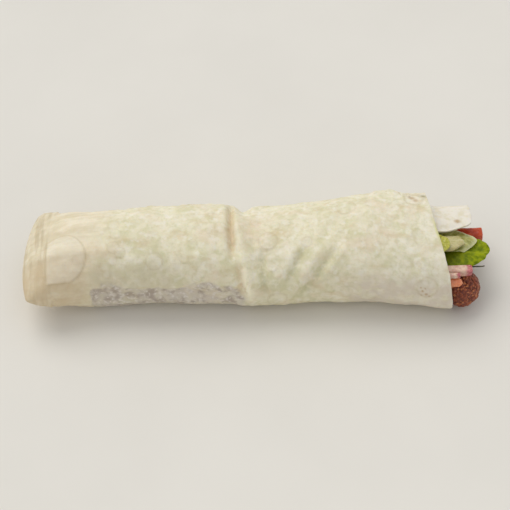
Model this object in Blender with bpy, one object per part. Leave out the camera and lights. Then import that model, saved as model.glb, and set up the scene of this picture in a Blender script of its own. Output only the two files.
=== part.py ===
"""A cig kofte wrap: a lavash sheet rolled round kofte and salad, closed at one end and open at the other.

+X runs along the wrap to its open mouth, +Y to its back and +Z up, and it lies on Z = 0.
Sizes here are in millimetres, and mesh_object turns them into metres.
"Around" is an angle in degrees round a cross-section, by length of sheet: 0 is the top line,
90 the front, 180 the underside and -90 the back.
"""

import bpy
import numpy as np

MM = 0.001

# The roll's cross-section along its length: x, half width, underside height, top height.
ROLL = (
    (-154.5, 37.8, 20.5, 31.0),
    (-145, 37.2, 15.0, 37.5),
    (-130, 34.8, 6.5, 46.0),
    (-110, 31.8, 0.0, 52.0),
    (-60, 32.0, 0.0, 54.5),
    (-30, 33.6, 0.0, 54.0),
    (0, 35.2, 0.0, 47.5),
    (30, 34.4, 0.0, 50.0),
    (68, 36.0, 0.0, 56.0),
    (100, 40.0, 0.0, 53.5),
    (131, 41.5, 0.0, 50.5),
)
TOP_SQUARENESS = 2.15
UNDERSIDE_SQUARENESS = 3.0
SAG = 1.1  # how far the underside is pressed flat

# Closed end: the rolled sheet is pinched flat and turned over at its edge.
END_NOSE = 7.0
END_EDGE_THICKNESS = 1.6
END_CORNER_BACK = 7.6
END_CORNER_FRONT = 4.2
END_FOLD_X = -136.6
END_FOLD_STEP = 0.8

# Mouth: the sheet's edge is cut on a slant, furthest out at the front and below.
MOUTH_X = 121.2
MOUTH_SLANT = 6.5
MOUTH_SLANT_AROUND = -50.0
MOUTH_FLARE = 2.2
MOUTH_FLARE_LENGTH = 24.0
MOUTH_FLARE_AROUND = 108.0
SHEET = 1.2  # one ply of lavash
SLIT_DEEP_X = 96.0
PLY_GAP = 0.45
FLAP_DROP = 8.0  # how far the inner ply hangs below the outer one at the mouth
FLAP_X = 143.2
INNER_PLY_X = 112.0
SEAM_AROUND = -138.0  # the sheet's outer free edge

# The space for the filling, a little inside the wall.
LINING = 3.3
CREASE_LINING = 2.6
CREASE_X = -7.0
CREASE_SPREAD = 22.0
CAVITY_START_X = -123.0  # from here to the closed end the folded plies are solid
LINING_STATIONS = (84, 50, 22, 8, -7, -22, -38, -70, -104, CAVITY_START_X)

COLUMNS = 52  # points round each ring of the lavash

FILLING_START_X = -121.0

# Kofte: its place and half size in the filling space, then what it does past the mouth.
KOFTE_END_X = 147.6
KOFTE_DOME = 13.0
KOFTE_PLACE = (-0.52, 0.305)
KOFTE_HALF_SIZE = (0.35, 0.265)
KOFTE_SAG = (-7.0, -3.4)
KOFTE_SAG_X = (114.0, 136.0)  # where its end sinks out of the roll
KOFTE_SQUARENESS = 2.1
KOFTE_COLUMNS = 20
KOFTE_ROUGHNESS = 0.3

# Salad: the bundle of lettuce shreds behind the kofte, in the filling space.
SALAD_END_X = 127.0
SALAD_PLACE = (0.44, 0.375)
SALAD_HALF_SIZE = (0.38, 0.33)
SALAD_MOUTH_PLACE = (0.38, 0.22)  # it is smaller and lower at the mouth, where the tomato is on it
SALAD_MOUTH_HALF_SIZE = (0.28, 0.165)
SALAD_COLUMNS = 16
SALAD_FOLDS = 0.8

# Salad leaves: (across, up, furthest x) at places across each leaf, in the filling space.
GREEN_LEAF = (
    (0.00, -0.620, 0.620, 142.0),
    (0.20, -0.430, 0.640, 151.0),
    (0.36, -0.270, 0.652, 153.6),
    (0.50, -0.110, 0.656, 151.0),
    (0.60, -0.026, 0.626, 145.0),
    (0.72, 0.000, 0.516, 136.0),
    (0.86, -0.040, 0.332, 126.0),
    (1.00, -0.080, 0.147, 118.0),
)
PALE_LEAF = (
    (0.00, -0.345, 0.692, 137.0),
    (0.20, -0.200, 0.704, 144.0),
    (0.36, -0.090, 0.708, 146.0),
    (0.54, 0.060, 0.700, 139.0),
    (0.68, 0.170, 0.680, 132.5),
    (0.82, 0.330, 0.642, 126.0),
    (0.91, 0.500, 0.600, 122.0),
    (1.00, 0.690, 0.510, 117.0),
)
PALE_LEAF_RISE = 0.185  # how much higher its back edge lies inside the roll
FRILL_LEAF = (
    (0.00, -0.790, 0.720, 113.0),
    (0.25, -0.570, 0.842, 120.5),
    (0.48, -0.390, 0.862, 126.5),
    (0.70, -0.215, 0.861, 125.5),
    (1.00, 0.050, 0.846, 112.0),
)

# Cut pieces that show at the mouth: start x, end x, middle y, middle z, width, height.
RADISH_LONG = (104.0, 140.6, -27.7, 31.5, 6.0, 5.8)
RADISH_SHORT = (103.0, 132.0, -33.4, 33.6, 3.2, 3.4)
TOMATO_FRONT = (104.0, 134.2, -33.8, 27.5, 4.6, 5.6)
TOMATO_BACK = (104.5, 152.0, 8.0, 25.2, 9.4, 7.8)
STEM = (127.0, 149.5, -22.3, 29.0, 0.9, 0.9)

# Lettuce rib: a thick pale strip with a slanting cut end.
RIB_START_X = -100.0
RIB_END_X = 136.8
RIB_THICKNESS = 2.5


def smooth_step(low, high, value):
    """0 at low, 1 at high, eased between them."""
    t = np.clip((value - low) / (high - low), 0.0, 1.0)
    return t * t * (3.0 - 2.0 * t)


def bell(value, centre, width):
    return np.exp(-(((value - centre) / width) ** 2))


def through(stations, x):
    """Smooth values at x through rows of (x, value, value, ...), one column for each value."""
    rows = np.array(stations, float)
    knots = rows[:, 0]
    values = rows[:, 1:]
    slopes = np.gradient(values, knots, axis=0)
    x = np.clip(np.atleast_1d(np.asarray(x, float)), knots[0], knots[-1])
    i = np.clip(np.searchsorted(knots, x, side="right") - 1, 0, len(knots) - 2)
    gap = (knots[i + 1] - knots[i])[:, None]
    t = (x - knots[i])[:, None] / gap
    start = values[i] * (1 + 2 * t) * (1 - t) ** 2 + slopes[i] * gap * t * (1 - t) ** 2
    end = values[i + 1] * (3 - 2 * t) * t**2 + slopes[i + 1] * gap * (t - 1) * t**2
    return (start + end).T


def roll_size(x):
    half_width, underside, top = through(ROLL, x)
    return half_width[0], underside[0], top[0]


def outline(half_width, underside, top, columns, sag=SAG):
    """Points (y, z) and outward normals of one cross-section, evenly spaced along the sheet."""
    turn = np.linspace(0.0, 2 * np.pi, 721)
    middle = (underside + top) / 2
    upper = np.cos(turn) > 0
    power = np.where(upper, 2 / TOP_SQUARENESS, 2 / UNDERSIDE_SQUARENESS)
    half_height = np.where(upper, top - middle, middle - underside + sag)
    y = -half_width * np.sign(np.sin(turn)) * np.abs(np.sin(turn)) ** power
    z = middle + half_height * np.sign(np.cos(turn)) * np.abs(np.cos(turn)) ** power
    z = np.maximum(z, underside)
    length = np.concatenate([[0.0], np.cumsum(np.hypot(np.diff(y), np.diff(z)))])
    places = np.arange(columns) / columns * length[-1]
    points = np.stack([np.interp(places, length, y), np.interp(places, length, z)], axis=1)
    ahead = np.roll(points, -1, axis=0) - np.roll(points, 1, axis=0)
    normals = np.stack([ahead[:, 1], -ahead[:, 0]], axis=1)
    return points, normals / np.linalg.norm(normals, axis=1)[:, None]


def signed_around(columns):
    """Each column's place round the section, from -180 to 180 degrees."""
    around = np.arange(columns) / columns * 360.0
    return np.where(around > 180.0, around - 360.0, around)


MM_PER_DEGREE = 0.53  # sheet length per degree round the section


def line_distance(x, around, start, end):
    """Distance on the sheet from the line between two (x, around) places, and how far along it."""
    run = np.array([end[0] - start[0], (end[1] - start[1]) * MM_PER_DEGREE])
    offset_x = x - start[0]
    offset_around = (around - start[1]) * MM_PER_DEGREE
    along = (offset_x * run[0] + offset_around * run[1]) / (run @ run)
    across = (offset_x * run[1] - offset_around * run[0]) / np.hypot(*run)
    return across, along


def fold(x, around, start, end, height, width):
    """A ridge (or, with a negative height, a valley) that fades out past both ends of its line."""
    across, along = line_distance(x, around, start, end)
    fade = smooth_step(-0.25, 0.15, along) * smooth_step(1.25, 0.85, along)
    return height * bell(across, 0.0, width) * fade


def bubble(x, around, centre, radius, height):
    """A baked bubble: a low blister with a crisp rim."""
    reach = np.hypot(x - centre[0], (around - centre[1]) * MM_PER_DEGREE) / radius
    return height * (smooth_step(1.12, 0.86, reach) + 0.5 * bell(reach, 1.0, 0.14))


# Folds pressed into the sheet: start and end as (x, around), height, width.
FOLDS = (
    ((-15.8, -48), (-15.8, 34), -3.0, 1.9),
    ((-20.5, -40), (-19.8, 46), 1.3, 3.2),
    ((-8, -85), (-7.5, -30), -4.0, 4.5),
    ((-10.5, 52), (-9, 86), -1.6, 2.4),
    ((-12, -8), (-5, 92), 2.4, 4.0),
    ((4, 38), (5.5, 86), -2.6, 2.4),
    ((27, 96), (49, 44), -2.4, 3.2),
    ((20.5, 70), (30.5, 35), -2.0, 2.8),
    ((24, 84), (42, 34), 1.2, 3.2),
    ((-150, -38), (-98, -34), -0.7, 2.2),
    ((86, -62), (106, -53), 1.8, 7.0),
)
BUBBLES = (
    ((-66, 47), 4.8, 0.7),
    ((-92.5, 28), 3.4, 0.5),
    ((-88, 35), 3.0, 0.5),
    ((8, 18), 5.4, 0.8),
    ((13, 99), 5.6, 0.6),
    ((110, 80), 5.8, 0.8),
    ((60, -20), 5.5, 0.6),
    ((-45, -60), 6.0, 0.7),
    ((85, -95), 7.0, 0.8),
)
PATCH_CENTRE = (-128.6, 36.0)
PATCH_RADIUS = 17.6
PATCH_LOWER_AROUND = 69.0
PATCH_HEIGHT = 1.0
SECOND_PATCH_X = -107.5
SECOND_PATCH_AROUND = (68.0, 116.0)


def end_patch(x, around):
    """The large flattened blister at the closed end, cut off by the turned edge and a fold below."""
    from_rim = PATCH_RADIUS - np.hypot(x - PATCH_CENTRE[0], (around - PATCH_CENTRE[1]) * MM_PER_DEGREE)
    from_fold = x - END_FOLD_X
    from_lower = (PATCH_LOWER_AROUND - around) * MM_PER_DEGREE
    inside = np.minimum(np.minimum(from_rim, from_fold), from_lower)
    second_low, second_high = SECOND_PATCH_AROUND
    second = smooth_step(-0.8, 0.8, x - SECOND_PATCH_X) * smooth_step(14, 2, x - SECOND_PATCH_X)
    second = second * smooth_step(second_low - 4, second_low + 4, around)
    second = second * smooth_step(second_high + 12, second_high, around)
    return PATCH_HEIGHT * (smooth_step(-0.8, 0.8, inside) + 0.7 * second)


def relief(x, around):
    """How far the sheet stands out from its plain section."""
    height = 0.45 * np.sin(x / 11.0 + np.radians(2 * around)) * np.sin(x / 29.0 - np.radians(around))
    height = height + 0.35 * np.sin(x / 7.3 + 1.0) * np.sin(np.radians(5 * around) + x / 17.0)
    for start, end, size, width in FOLDS:
        height = height + fold(x, around, start, end, size, width)
    for centre, radius, size in BUBBLES:
        height = height + bubble(x, around, centre, radius, size)
    height = height + end_patch(x, around)
    height = height + END_FOLD_STEP * smooth_step(END_FOLD_X + 0.7, END_FOLD_X - 0.7, x)
    since_seam = np.mod(around - SEAM_AROUND, 360.0)
    seam = SHEET * (since_seam / 360.0 - 0.5) * smooth_step(0.0, 6.0, since_seam)
    height = height + seam * smooth_step(END_FOLD_X, END_FOLD_X + 40, x)
    farthest = MOUTH_X + MOUTH_SLANT
    flare = smooth_step(farthest - MOUTH_FLARE_LENGTH, farthest, x) * bell(around, MOUTH_FLARE_AROUND, 20.0)
    height = height + MOUTH_FLARE * flare
    on_floor = smooth_step(128.0, 150.0, np.abs(around))
    return height * (1.0 - on_floor)


def end_shift(y):
    """The closed edge bows outwards, most just in front of the middle line."""
    to_back = np.clip((y + 10.0) / 48.0, 0.0, 1.0)
    to_front = np.clip((-10.0 - y) / 28.0, 0.0, 1.0)
    return END_CORNER_BACK * to_back**2.4 + END_CORNER_FRONT * to_front**2


def mouth_x(around):
    return MOUTH_X - MOUTH_SLANT * np.cos(np.radians(around - MOUTH_SLANT_AROUND))


def slant(x, around):
    """How far a ring's points move along X, so that the last ring follows the mouth."""
    farthest = MOUTH_X + MOUTH_SLANT
    return (mouth_x(around) - farthest) * smooth_step(farthest - 75, farthest, x)


def station_at(x, around):
    """The x before the slant of a place that the slant moves to this x."""
    station = x
    for _ in range(12):
        station = x - slant(station, around)
    return station


def along_ring(x, y, around):
    """True x of each point of a ring: straight inside, bowed at the closed end and slanted at the mouth."""
    bow = end_shift(y) * smooth_step(ROLL[0][0] + 40, ROLL[0][0], x)
    return x + bow + slant(x, around)


def outer_ring(x, columns=COLUMNS):
    """One ring of the roll's outside."""
    around = signed_around(columns)
    half_width, underside, top = roll_size(x)
    from_end = x - ROLL[0][0]
    nose = np.sqrt(1 - (1 - np.clip(from_end / END_NOSE, 0, 1)) ** 2)
    middle = (underside + top) / 2
    half_height = END_EDGE_THICKNESS / 2 + ((top - underside) - END_EDGE_THICKNESS) / 2 * nose
    half_width = half_width - 2.5 * (1 - nose)
    sag = SAG * smooth_step(-128, -112, x)
    points, normals = outline(half_width, middle - half_height, middle + half_height, columns, sag)
    points = points + normals * (relief(x, around) * nose)[:, None]
    points[:, 1] = np.maximum(points[:, 1], 0.0)
    return np.column_stack([along_ring(x, points[:, 0], around), points])


def ply_gap(x, around):
    """The gap between the two plies, which opens at the top and back of the mouth."""
    sector = smooth_step(18.0, 0.0, around) * smooth_step(-165.0, -120.0, around)
    return PLY_GAP + FLAP_DROP * sector * smooth_step(SLIT_DEEP_X - 4, 126.0, x)


def inner_ply_x(around):
    """The inner ply's own edge: a flap reaches out at the top and back."""
    sector = smooth_step(14.0, -10.0, around) * smooth_step(-150.0, -112.0, around)
    return INNER_PLY_X + (FLAP_X - INNER_PLY_X) * sector


def inset_ring(x_round, depth, columns=COLUMNS):
    """A ring inside the roll, at its own x in each column and a depth below the plain section."""
    around = signed_around(columns)
    depth = np.broadcast_to(depth, around.shape)
    ring = np.empty((columns, 3))
    stations = station_at(x_round, around)
    for column, x in enumerate(x_round):
        half_width, underside, top = roll_size(stations[column])
        points, normals = outline(half_width, underside, top, columns)
        ring[column, 0] = x
        ring[column, 1:] = points[column] - normals[column] * depth[column]
    return ring


def ply_ring(x_round, depth):
    """An inset ring that follows the relief of the outside, so that both plies stay apart."""
    around = signed_around(COLUMNS)
    return inset_ring(x_round, depth - relief(station_at(x_round, around), around))


def lining_depth(x, around=0.0):
    """Depth of the lining: more under the deep creases, but not where the roll lies on the floor."""
    above_floor = smooth_step(140.0, 105.0, np.abs(around))
    return LINING + CREASE_LINING * bell(x, CREASE_X, CREASE_SPREAD) * above_floor


def ring_stations():
    """x of each outer ring: close together where the sheet is pinched, blistered or creased."""
    nose = ROLL[0][0] + np.array([0.0, 0.7, 2.2, 4.6, 8.0, 13.0])
    blister = np.arange(-139.6, -104.0, 4.2)
    plain_left = np.linspace(-97.0, -31.0, 6)
    creased = np.linspace(-24.0, 36.0, 19)
    plain_right = np.linspace(46.0, MOUTH_X + MOUTH_SLANT, 9)
    return np.concatenate([nose, blister, plain_left, creased, plain_right])


def mesh_object(name, points, triangles, colour, roughness):
    """A named object with its own material, from points in millimetres."""
    mesh = bpy.data.meshes.new(name)
    mesh.from_pydata((np.asarray(points) * MM).tolist(), [], [tuple(map(int, t)) for t in triangles])
    mesh.update()
    mesh.shade_smooth()
    mesh.set_sharp_from_angle(angle=np.radians(50))
    material = bpy.data.materials.new(name)
    material.use_nodes = True
    shader = material.node_tree.nodes["Principled BSDF"]
    shader.inputs["Base Color"].default_value = (*colour, 1.0)
    shader.inputs["Roughness"].default_value = roughness
    shader.inputs["Metallic"].default_value = 0.0
    mesh.materials.append(material)
    made = bpy.data.objects.new(name, mesh)
    bpy.context.scene.collection.objects.link(made)
    return made


def bridge(first, second, columns):
    """Triangles between two rings, given the index of each ring's first point."""
    triangles = []
    for column in range(columns):
        after = (column + 1) % columns
        a, b = first + column, first + after
        c, d = second + column, second + after
        triangles += [(a, b, c), (b, d, c)]
    return triangles


def lavash():
    """One closed body: outside, mouth edge, slit between the plies, flap and lining."""
    around = signed_around(COLUMNS)
    rim = mouth_x(around)
    rings = [outer_ring(x) for x in ring_stations()]
    last = rings[-1]
    plain = inset_ring(rim, 0.0)
    inward = inset_ring(rim, SHEET) - plain
    rings.append(last + inward)
    slit = np.full(COLUMNS, SLIT_DEEP_X)
    ply_edge = inner_ply_x(around)
    covered = np.minimum(ply_edge, rim - 4 * SHEET)
    for share in (1.0, 0.7, 0.35, 0.0):
        rings.append(ply_ring(slit + (covered - slit) * share, SHEET))
    rings.append(ply_ring(slit, SHEET + PLY_GAP))
    for share in (0.35, 0.7, 1.0):
        x_round = slit + (ply_edge - slit) * share
        rings.append(ply_ring(x_round, SHEET + ply_gap(x_round, around)))
    for share in (1.0, 0.7, 0.35):
        x_round = slit + (ply_edge - slit) * share
        rings.append(ply_ring(x_round, 2 * SHEET + ply_gap(x_round, around)))
    for x in LINING_STATIONS:
        rings.append(inset_ring(np.full(COLUMNS, x), lining_depth(x, around)))
    points = np.concatenate(rings)
    triangles = []
    for step in range(len(rings) - 1):
        triangles += bridge(step * COLUMNS, (step + 1) * COLUMNS, COLUMNS)
    triangles += closed_edge()
    centre = len(points)
    points = np.vstack([points, rings[-1].mean(axis=0)])
    last_start = centre - COLUMNS
    for column in range(COLUMNS):
        triangles.append((last_start + column, last_start + (column + 1) % COLUMNS, centre))
    return mesh_object("lavash", points, triangles, (0.84, 0.75, 0.56), 0.75)


def closed_edge():
    """The narrow strip that closes the first ring, from its upper to its lower half."""
    quarter = COLUMNS // 4
    triangles = []
    for step in range(-quarter, quarter):
        upper, upper_next = step % COLUMNS, (step + 1) % COLUMNS
        lower, lower_next = (2 * quarter - step) % COLUMNS, (2 * quarter - step - 1) % COLUMNS
        if upper != lower:
            triangles.append((upper_next, upper, lower))
        if upper_next != lower_next:
            triangles.append((lower_next, upper_next, lower))
    return triangles


def filling_place(x, across, up):
    """A point of the filling space: across from -1 at the front to 1 at the back, up from 0 to 1."""
    half_width, underside, top = through(ROLL, x)
    depth = lining_depth(x)
    low = np.maximum(underside, 0.0) + LINING
    high = top - depth
    y = across * (half_width - depth)
    z = low + up * (high - low)
    return np.stack(np.broadcast_arrays(x, y, z), axis=-1)


def ring_log(name, centres, half_sizes, squareness, columns, bump, colour, roughness):
    """A closed log from rings along X; bump(ring, column angles) moves each point outwards."""
    turn = np.arange(columns) / columns * 2 * np.pi
    shape_y = -np.sign(np.sin(turn)) * np.abs(np.sin(turn)) ** (2 / squareness)
    shape_z = np.sign(np.cos(turn)) * np.abs(np.cos(turn)) ** (2 / squareness)
    rings = []
    for number, (centre, half) in enumerate(zip(centres, half_sizes)):
        out = bump(number, turn)
        y = centre[1] + shape_y * half[0] - np.sin(turn) * out
        z = centre[2] + shape_z * half[1] + np.cos(turn) * out
        rings.append(np.column_stack([np.full(columns, centre[0]), y, z]))
    points = np.concatenate([*rings, [rings[0].mean(axis=0)], [rings[-1].mean(axis=0)]])
    first_cap, last_cap = len(points) - 2, len(points) - 1
    last_start = (len(rings) - 1) * columns
    triangles = []
    for step in range(len(rings) - 1):
        triangles += bridge(step * columns, (step + 1) * columns, columns)
    for column in range(columns):
        after = (column + 1) % columns
        triangles.append((first_cap, after, column))
        triangles.append((last_cap, last_start + column, last_start + after))
    return mesh_object(name, points, triangles, colour, roughness)


def kofte():
    """The rough log of bulgur paste, which runs through the wrap and ends in a dome past its mouth."""
    straight = np.arange(FILLING_START_X, KOFTE_END_X - KOFTE_DOME, 9.0)
    dome_turn = np.linspace(0.0, 84.0, 7)
    dome = KOFTE_END_X - KOFTE_DOME * (1 - np.sin(np.radians(dome_turn)))
    x = np.concatenate([straight, dome])
    start_taper = np.sqrt(np.clip(1 - ((FILLING_START_X + 5 - x) / 6.0).clip(0) ** 2, 0.3, 1))
    end_taper = np.sqrt(np.clip(1 - ((x - dome[0]) / KOFTE_DOME).clip(0) ** 2, 0.0, 1))
    taper = start_taper * end_taper
    middle = filling_place(x, KOFTE_PLACE[0], KOFTE_PLACE[1])
    corner = filling_place(x, KOFTE_PLACE[0] + KOFTE_HALF_SIZE[0], KOFTE_PLACE[1] + KOFTE_HALF_SIZE[1])
    half = (corner - middle)[:, 1:] * taper[:, None]
    outside = smooth_step(*KOFTE_SAG_X, x)
    middle[:, 1] += KOFTE_SAG[0] * outside
    middle[:, 2] += KOFTE_SAG[1] * outside
    random = np.random.default_rng(7)
    grain = random.uniform(-1.0, 1.0, (len(x), KOFTE_COLUMNS))

    def bump(number, turn):
        swell = 1.0 + 1.2 * outside[number]
        return KOFTE_ROUGHNESS * swell * grain[number] * taper[number]

    return ring_log("kofte", middle, half, KOFTE_SQUARENESS, KOFTE_COLUMNS, bump, (0.30, 0.07, 0.03), 0.6)


def salad():
    """The bundle of lettuce: a core with folded leaves as relief, and an uneven end."""
    x = np.concatenate([np.arange(FILLING_START_X, 114.0, 11.0), [117.0, 121.0, 124.5, SALAD_END_X]])
    ends = np.minimum(x - x[0], x[-1] - x)
    taper = 0.62 + 0.38 * smooth_step(0.0, 7.0, ends)
    at_mouth = smooth_step(86.0, 103.0, x)
    place = [low + (high - low) * at_mouth for low, high in zip(SALAD_PLACE, SALAD_MOUTH_PLACE)]
    reach = [low + (high - low) * at_mouth for low, high in zip(SALAD_HALF_SIZE, SALAD_MOUTH_HALF_SIZE)]
    middle = filling_place(x, place[0], place[1])
    corner = filling_place(x, place[0] + reach[0], place[1] + reach[1])
    half = (corner - middle)[:, 1:] * taper[:, None]

    def bump(number, turn):
        pleats = np.sin(5 * turn + x[number] / 23.0) + 0.6 * np.sin(7 * turn - x[number] / 9.0)
        return SALAD_FOLDS * pleats * 0.6 - 0.3

    return ring_log("salad", middle, half, 2.3, SALAD_COLUMNS, bump, (0.22, 0.36, 0.05), 0.45)


def leaf(name, profile, rows, columns, thickness, wave, colour, rise=0.0):
    """A thin wavy leaf that runs through the wrap; wave(x, across) lifts it, and both faces split alike.

    Inside the roll its back edge lies higher by the rise, to clear the salad bundle.
    """
    across = np.linspace(0.0, 1.0, columns)
    place_across, place_up, tip = through(profile, across)
    share = np.linspace(0.0, 1.0, rows) ** 0.8
    x = FILLING_START_X + (tip[None, :] - FILLING_START_X) * share[:, None]
    lift = rise * smooth_step(0.40, 0.85, across)
    inside = smooth_step(108.0, 88.0, x)
    rows_of_points = [filling_place(row, place_across, place_up + lift * deep) for row, deep in zip(x, inside)]
    middle = np.stack(rows_of_points)
    along = np.gradient(middle, axis=0)
    sideways = np.gradient(middle, axis=1)
    normal = np.cross(along, sideways)
    normal /= np.linalg.norm(normal, axis=2)[:, :, None]
    middle = middle + normal * wave(x, np.broadcast_to(across, x.shape))[:, :, None]
    upper = (middle + normal * thickness / 2).reshape(-1, 3)
    lower = (middle - normal * thickness / 2).reshape(-1, 3)
    count = rows * columns
    triangles = []
    for row in range(rows - 1):
        for column in range(columns - 1):
            a = row * columns + column
            b, c, d = a + 1, a + columns, a + columns + 1
            triangles += [(a, c, b), (b, c, d), (a + count, b + count, c + count)]
            triangles.append((b + count, d + count, c + count))
    edge = [column for column in range(columns)]
    edge += [row * columns + columns - 1 for row in range(1, rows)]
    edge += [(rows - 1) * columns + column for column in range(columns - 2, -1, -1)]
    edge += [row * columns for row in range(rows - 2, 0, -1)]
    for place, first in enumerate(edge):
        second = edge[(place + 1) % len(edge)]
        triangles += [(first, second, first + count), (second, second + count, first + count)]
    return mesh_object(name, np.vstack([upper, lower]), triangles, colour, 0.45)


def green_wave(x, across):
    past_mouth = smooth_step(124.0, 150.0, x)
    return (0.25 + 0.7 * past_mouth) * np.sin(x / 5.5 + 9 * across) * smooth_step(0.62, 0.5, across)


def pale_wave(x, across):
    return (0.2 + 0.5 * smooth_step(130.0, 146.0, x)) * np.sin(x / 6.5 - 7 * across)


def frill_wave(x, across):
    return 0.9 * np.sin(x / 2.2) * np.cos(8 * across)


def leaves():
    leaf("lettuce_green", GREEN_LEAF, 30, 11, 0.9, green_wave, (0.20, 0.34, 0.02))
    leaf("lettuce_pale", PALE_LEAF, 24, 10, 0.8, pale_wave, (0.50, 0.55, 0.25), PALE_LEAF_RISE)
    leaf("lettuce_frill", FRILL_LEAF, 32, 6, 0.8, frill_wave, (0.55, 0.60, 0.10))


def rib():
    """The thick midrib of a lettuce leaf, tapering to a slanting cut."""
    x = np.concatenate([np.arange(RIB_START_X, 120.0, 20.0), np.linspace(124.0, RIB_END_X, 6)])
    front = -0.42 + 0.16 * smooth_step(126.0, RIB_END_X + 2, x)
    back = -0.09 - 0.09 * smooth_step(133.0, RIB_END_X, x)
    middle = filling_place(x, (front + back) / 2, 0.775)
    half_width = (filling_place(x, back, 0.775) - filling_place(x, front, 0.775))[:, 1] / 2
    half = np.column_stack([half_width, np.full(len(x), RIB_THICKNESS / 2)])
    return ring_log("lettuce_rib", middle, half, 3.2, 12, no_bump, (0.66, 0.62, 0.40), 0.4)


def no_bump(number, turn):
    return np.zeros_like(turn)


def cut_piece(name, size, squareness, columns, unevenness, seed, colour):
    """A short stick of vegetable along X with softly rounded ends and uneven sides."""
    start, end, y, z, width, height = size
    share = np.array([0.0, 0.012, 0.05, 0.3, 0.55, 0.8, 0.94, 0.988, 1.0])
    rounding = np.array([0.72, 0.9, 1.0, 1.0, 1.0, 1.0, 1.0, 0.93, 0.8])
    x = start + (end - start) * share
    random = np.random.default_rng(seed)
    sway = unevenness * random.uniform(-1, 1, (len(x), 2))
    centres = np.column_stack([x, y + sway[:, 0], z + sway[:, 1]])
    half = np.column_stack([width / 2 * rounding, height / 2 * rounding])
    return ring_log(name, centres, half, squareness, columns, no_bump, colour, 0.35)


def cut_pieces():
    cut_piece("radish_long", RADISH_LONG, 5.0, 16, 0.15, 3, (0.80, 0.62, 0.60))
    cut_piece("radish_short", RADISH_SHORT, 4.0, 10, 0.1, 4, (0.80, 0.45, 0.45))
    cut_piece("tomato_front", TOMATO_FRONT, 2.4, 12, 0.1, 5, (0.75, 0.20, 0.09))
    cut_piece("tomato_back", TOMATO_BACK, 2.8, 16, 0.3, 6, (0.60, 0.09, 0.04))
    cut_piece("herb_stem", STEM, 2.0, 6, 0.25, 8, (0.03, 0.04, 0.02))


def clear_scene():
    for existing in list(bpy.data.objects):
        bpy.data.objects.remove(existing, do_unlink=True)


clear_scene()
lavash()
kofte()
salad()
leaves()
rib()
cut_pieces()
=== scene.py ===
"""The looks of the cig kofte wrap: the lavash, its filling, the studio light and the camera.

The shapes repeat the part's own formulas at a finer pitch, in millimetres, and mesh_piece turns
them into metres. "Around" is an angle in degrees round a cross-section, by length of sheet: 0 is the
top line, 90 the front, 180 the underside and -90 the back.
"""

import math

import bpy
import numpy as np
from mathutils import Matrix, Vector


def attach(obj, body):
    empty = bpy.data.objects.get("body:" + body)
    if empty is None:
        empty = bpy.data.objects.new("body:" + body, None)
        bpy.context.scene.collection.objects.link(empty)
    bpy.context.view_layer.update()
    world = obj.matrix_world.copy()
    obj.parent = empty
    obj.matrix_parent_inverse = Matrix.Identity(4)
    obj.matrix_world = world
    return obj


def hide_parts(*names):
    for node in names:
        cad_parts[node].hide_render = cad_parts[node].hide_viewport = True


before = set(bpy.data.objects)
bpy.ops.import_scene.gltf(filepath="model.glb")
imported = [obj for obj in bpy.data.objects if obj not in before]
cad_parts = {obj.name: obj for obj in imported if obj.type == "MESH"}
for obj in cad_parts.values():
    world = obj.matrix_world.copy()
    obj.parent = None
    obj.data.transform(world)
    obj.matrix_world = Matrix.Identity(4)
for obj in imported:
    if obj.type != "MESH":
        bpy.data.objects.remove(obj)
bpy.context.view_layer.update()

MM = 0.001

# The roll's cross-section along its length: x, half width, underside height, top height.
ROLL = (
    (-154.5, 37.8, 20.5, 31.0),
    (-145, 37.2, 15.0, 37.5),
    (-130, 34.8, 6.5, 46.0),
    (-110, 31.8, 0.0, 52.0),
    (-60, 32.0, 0.0, 54.5),
    (-30, 33.6, 0.0, 54.0),
    (0, 35.2, 0.0, 47.5),
    (30, 34.4, 0.0, 50.0),
    (68, 36.0, 0.0, 56.0),
    (100, 40.0, 0.0, 53.5),
    (131, 41.5, 0.0, 50.5),
)
TOP_SQUARENESS = 2.15
UNDERSIDE_SQUARENESS = 3.0
SAG = 1.1

END_NOSE = 7.0
END_EDGE_THICKNESS = 1.6
END_CORNER_BACK = 7.6
END_CORNER_FRONT = 4.2
END_FOLD_X = -136.6
END_FOLD_STEP = 0.8

MOUTH_X = 121.2
MOUTH_SLANT = 6.5
MOUTH_SLANT_AROUND = -50.0
MOUTH_FLARE = 2.2
MOUTH_FLARE_LENGTH = 24.0
MOUTH_FLARE_AROUND = 108.0
SHEET = 1.2
EDGE_BULGE = 0.32
SLIT_DEEP_X = 96.0
PLY_GAP = 0.45
FLAP_DROP = 8.0
FLAP_X = 143.2
INNER_PLY_X = 112.0
SEAM_AROUND = -138.0

LINING = 3.3
CREASE_LINING = 2.6
CREASE_X = -7.0
CREASE_SPREAD = 22.0
CAVITY_START_X = -123.0
FILLING_START_X = -121.0
LINING_STATIONS = (84, 50, 22, 8, -7, -22, -38, -70, -104, CAVITY_START_X)

SECTION_STEPS = 1441
COLUMNS = 252
OUTER_RINGS = 290
MM_PER_DEGREE = 0.53

# Folds pressed into the sheet: start and end as (x, around), height, width.
FOLDS = (
    ((-15.8, -48), (-15.8, 34), -3.0, 1.9),
    ((-20.5, -40), (-19.8, 46), 1.3, 3.2),
    ((-8, -85), (-7.5, -30), -4.0, 4.5),
    ((-10.5, 52), (-9, 86), -1.6, 2.4),
    ((-12, -8), (-5, 92), 2.4, 4.0),
    ((4, 38), (5.5, 86), -2.6, 2.4),
    ((27, 96), (49, 44), -2.4, 3.2),
    ((20.5, 70), (30.5, 35), -2.0, 2.8),
    ((24, 84), (42, 34), 1.2, 3.2),
    ((-150, -38), (-98, -34), -0.7, 2.2),
    ((86, -62), (106, -53), 1.8, 7.0),
)
# creases whose valleys are darkened with painted shade
SHADED_CREASE_FOLDS = (FOLDS[0], FOLDS[3])
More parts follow.
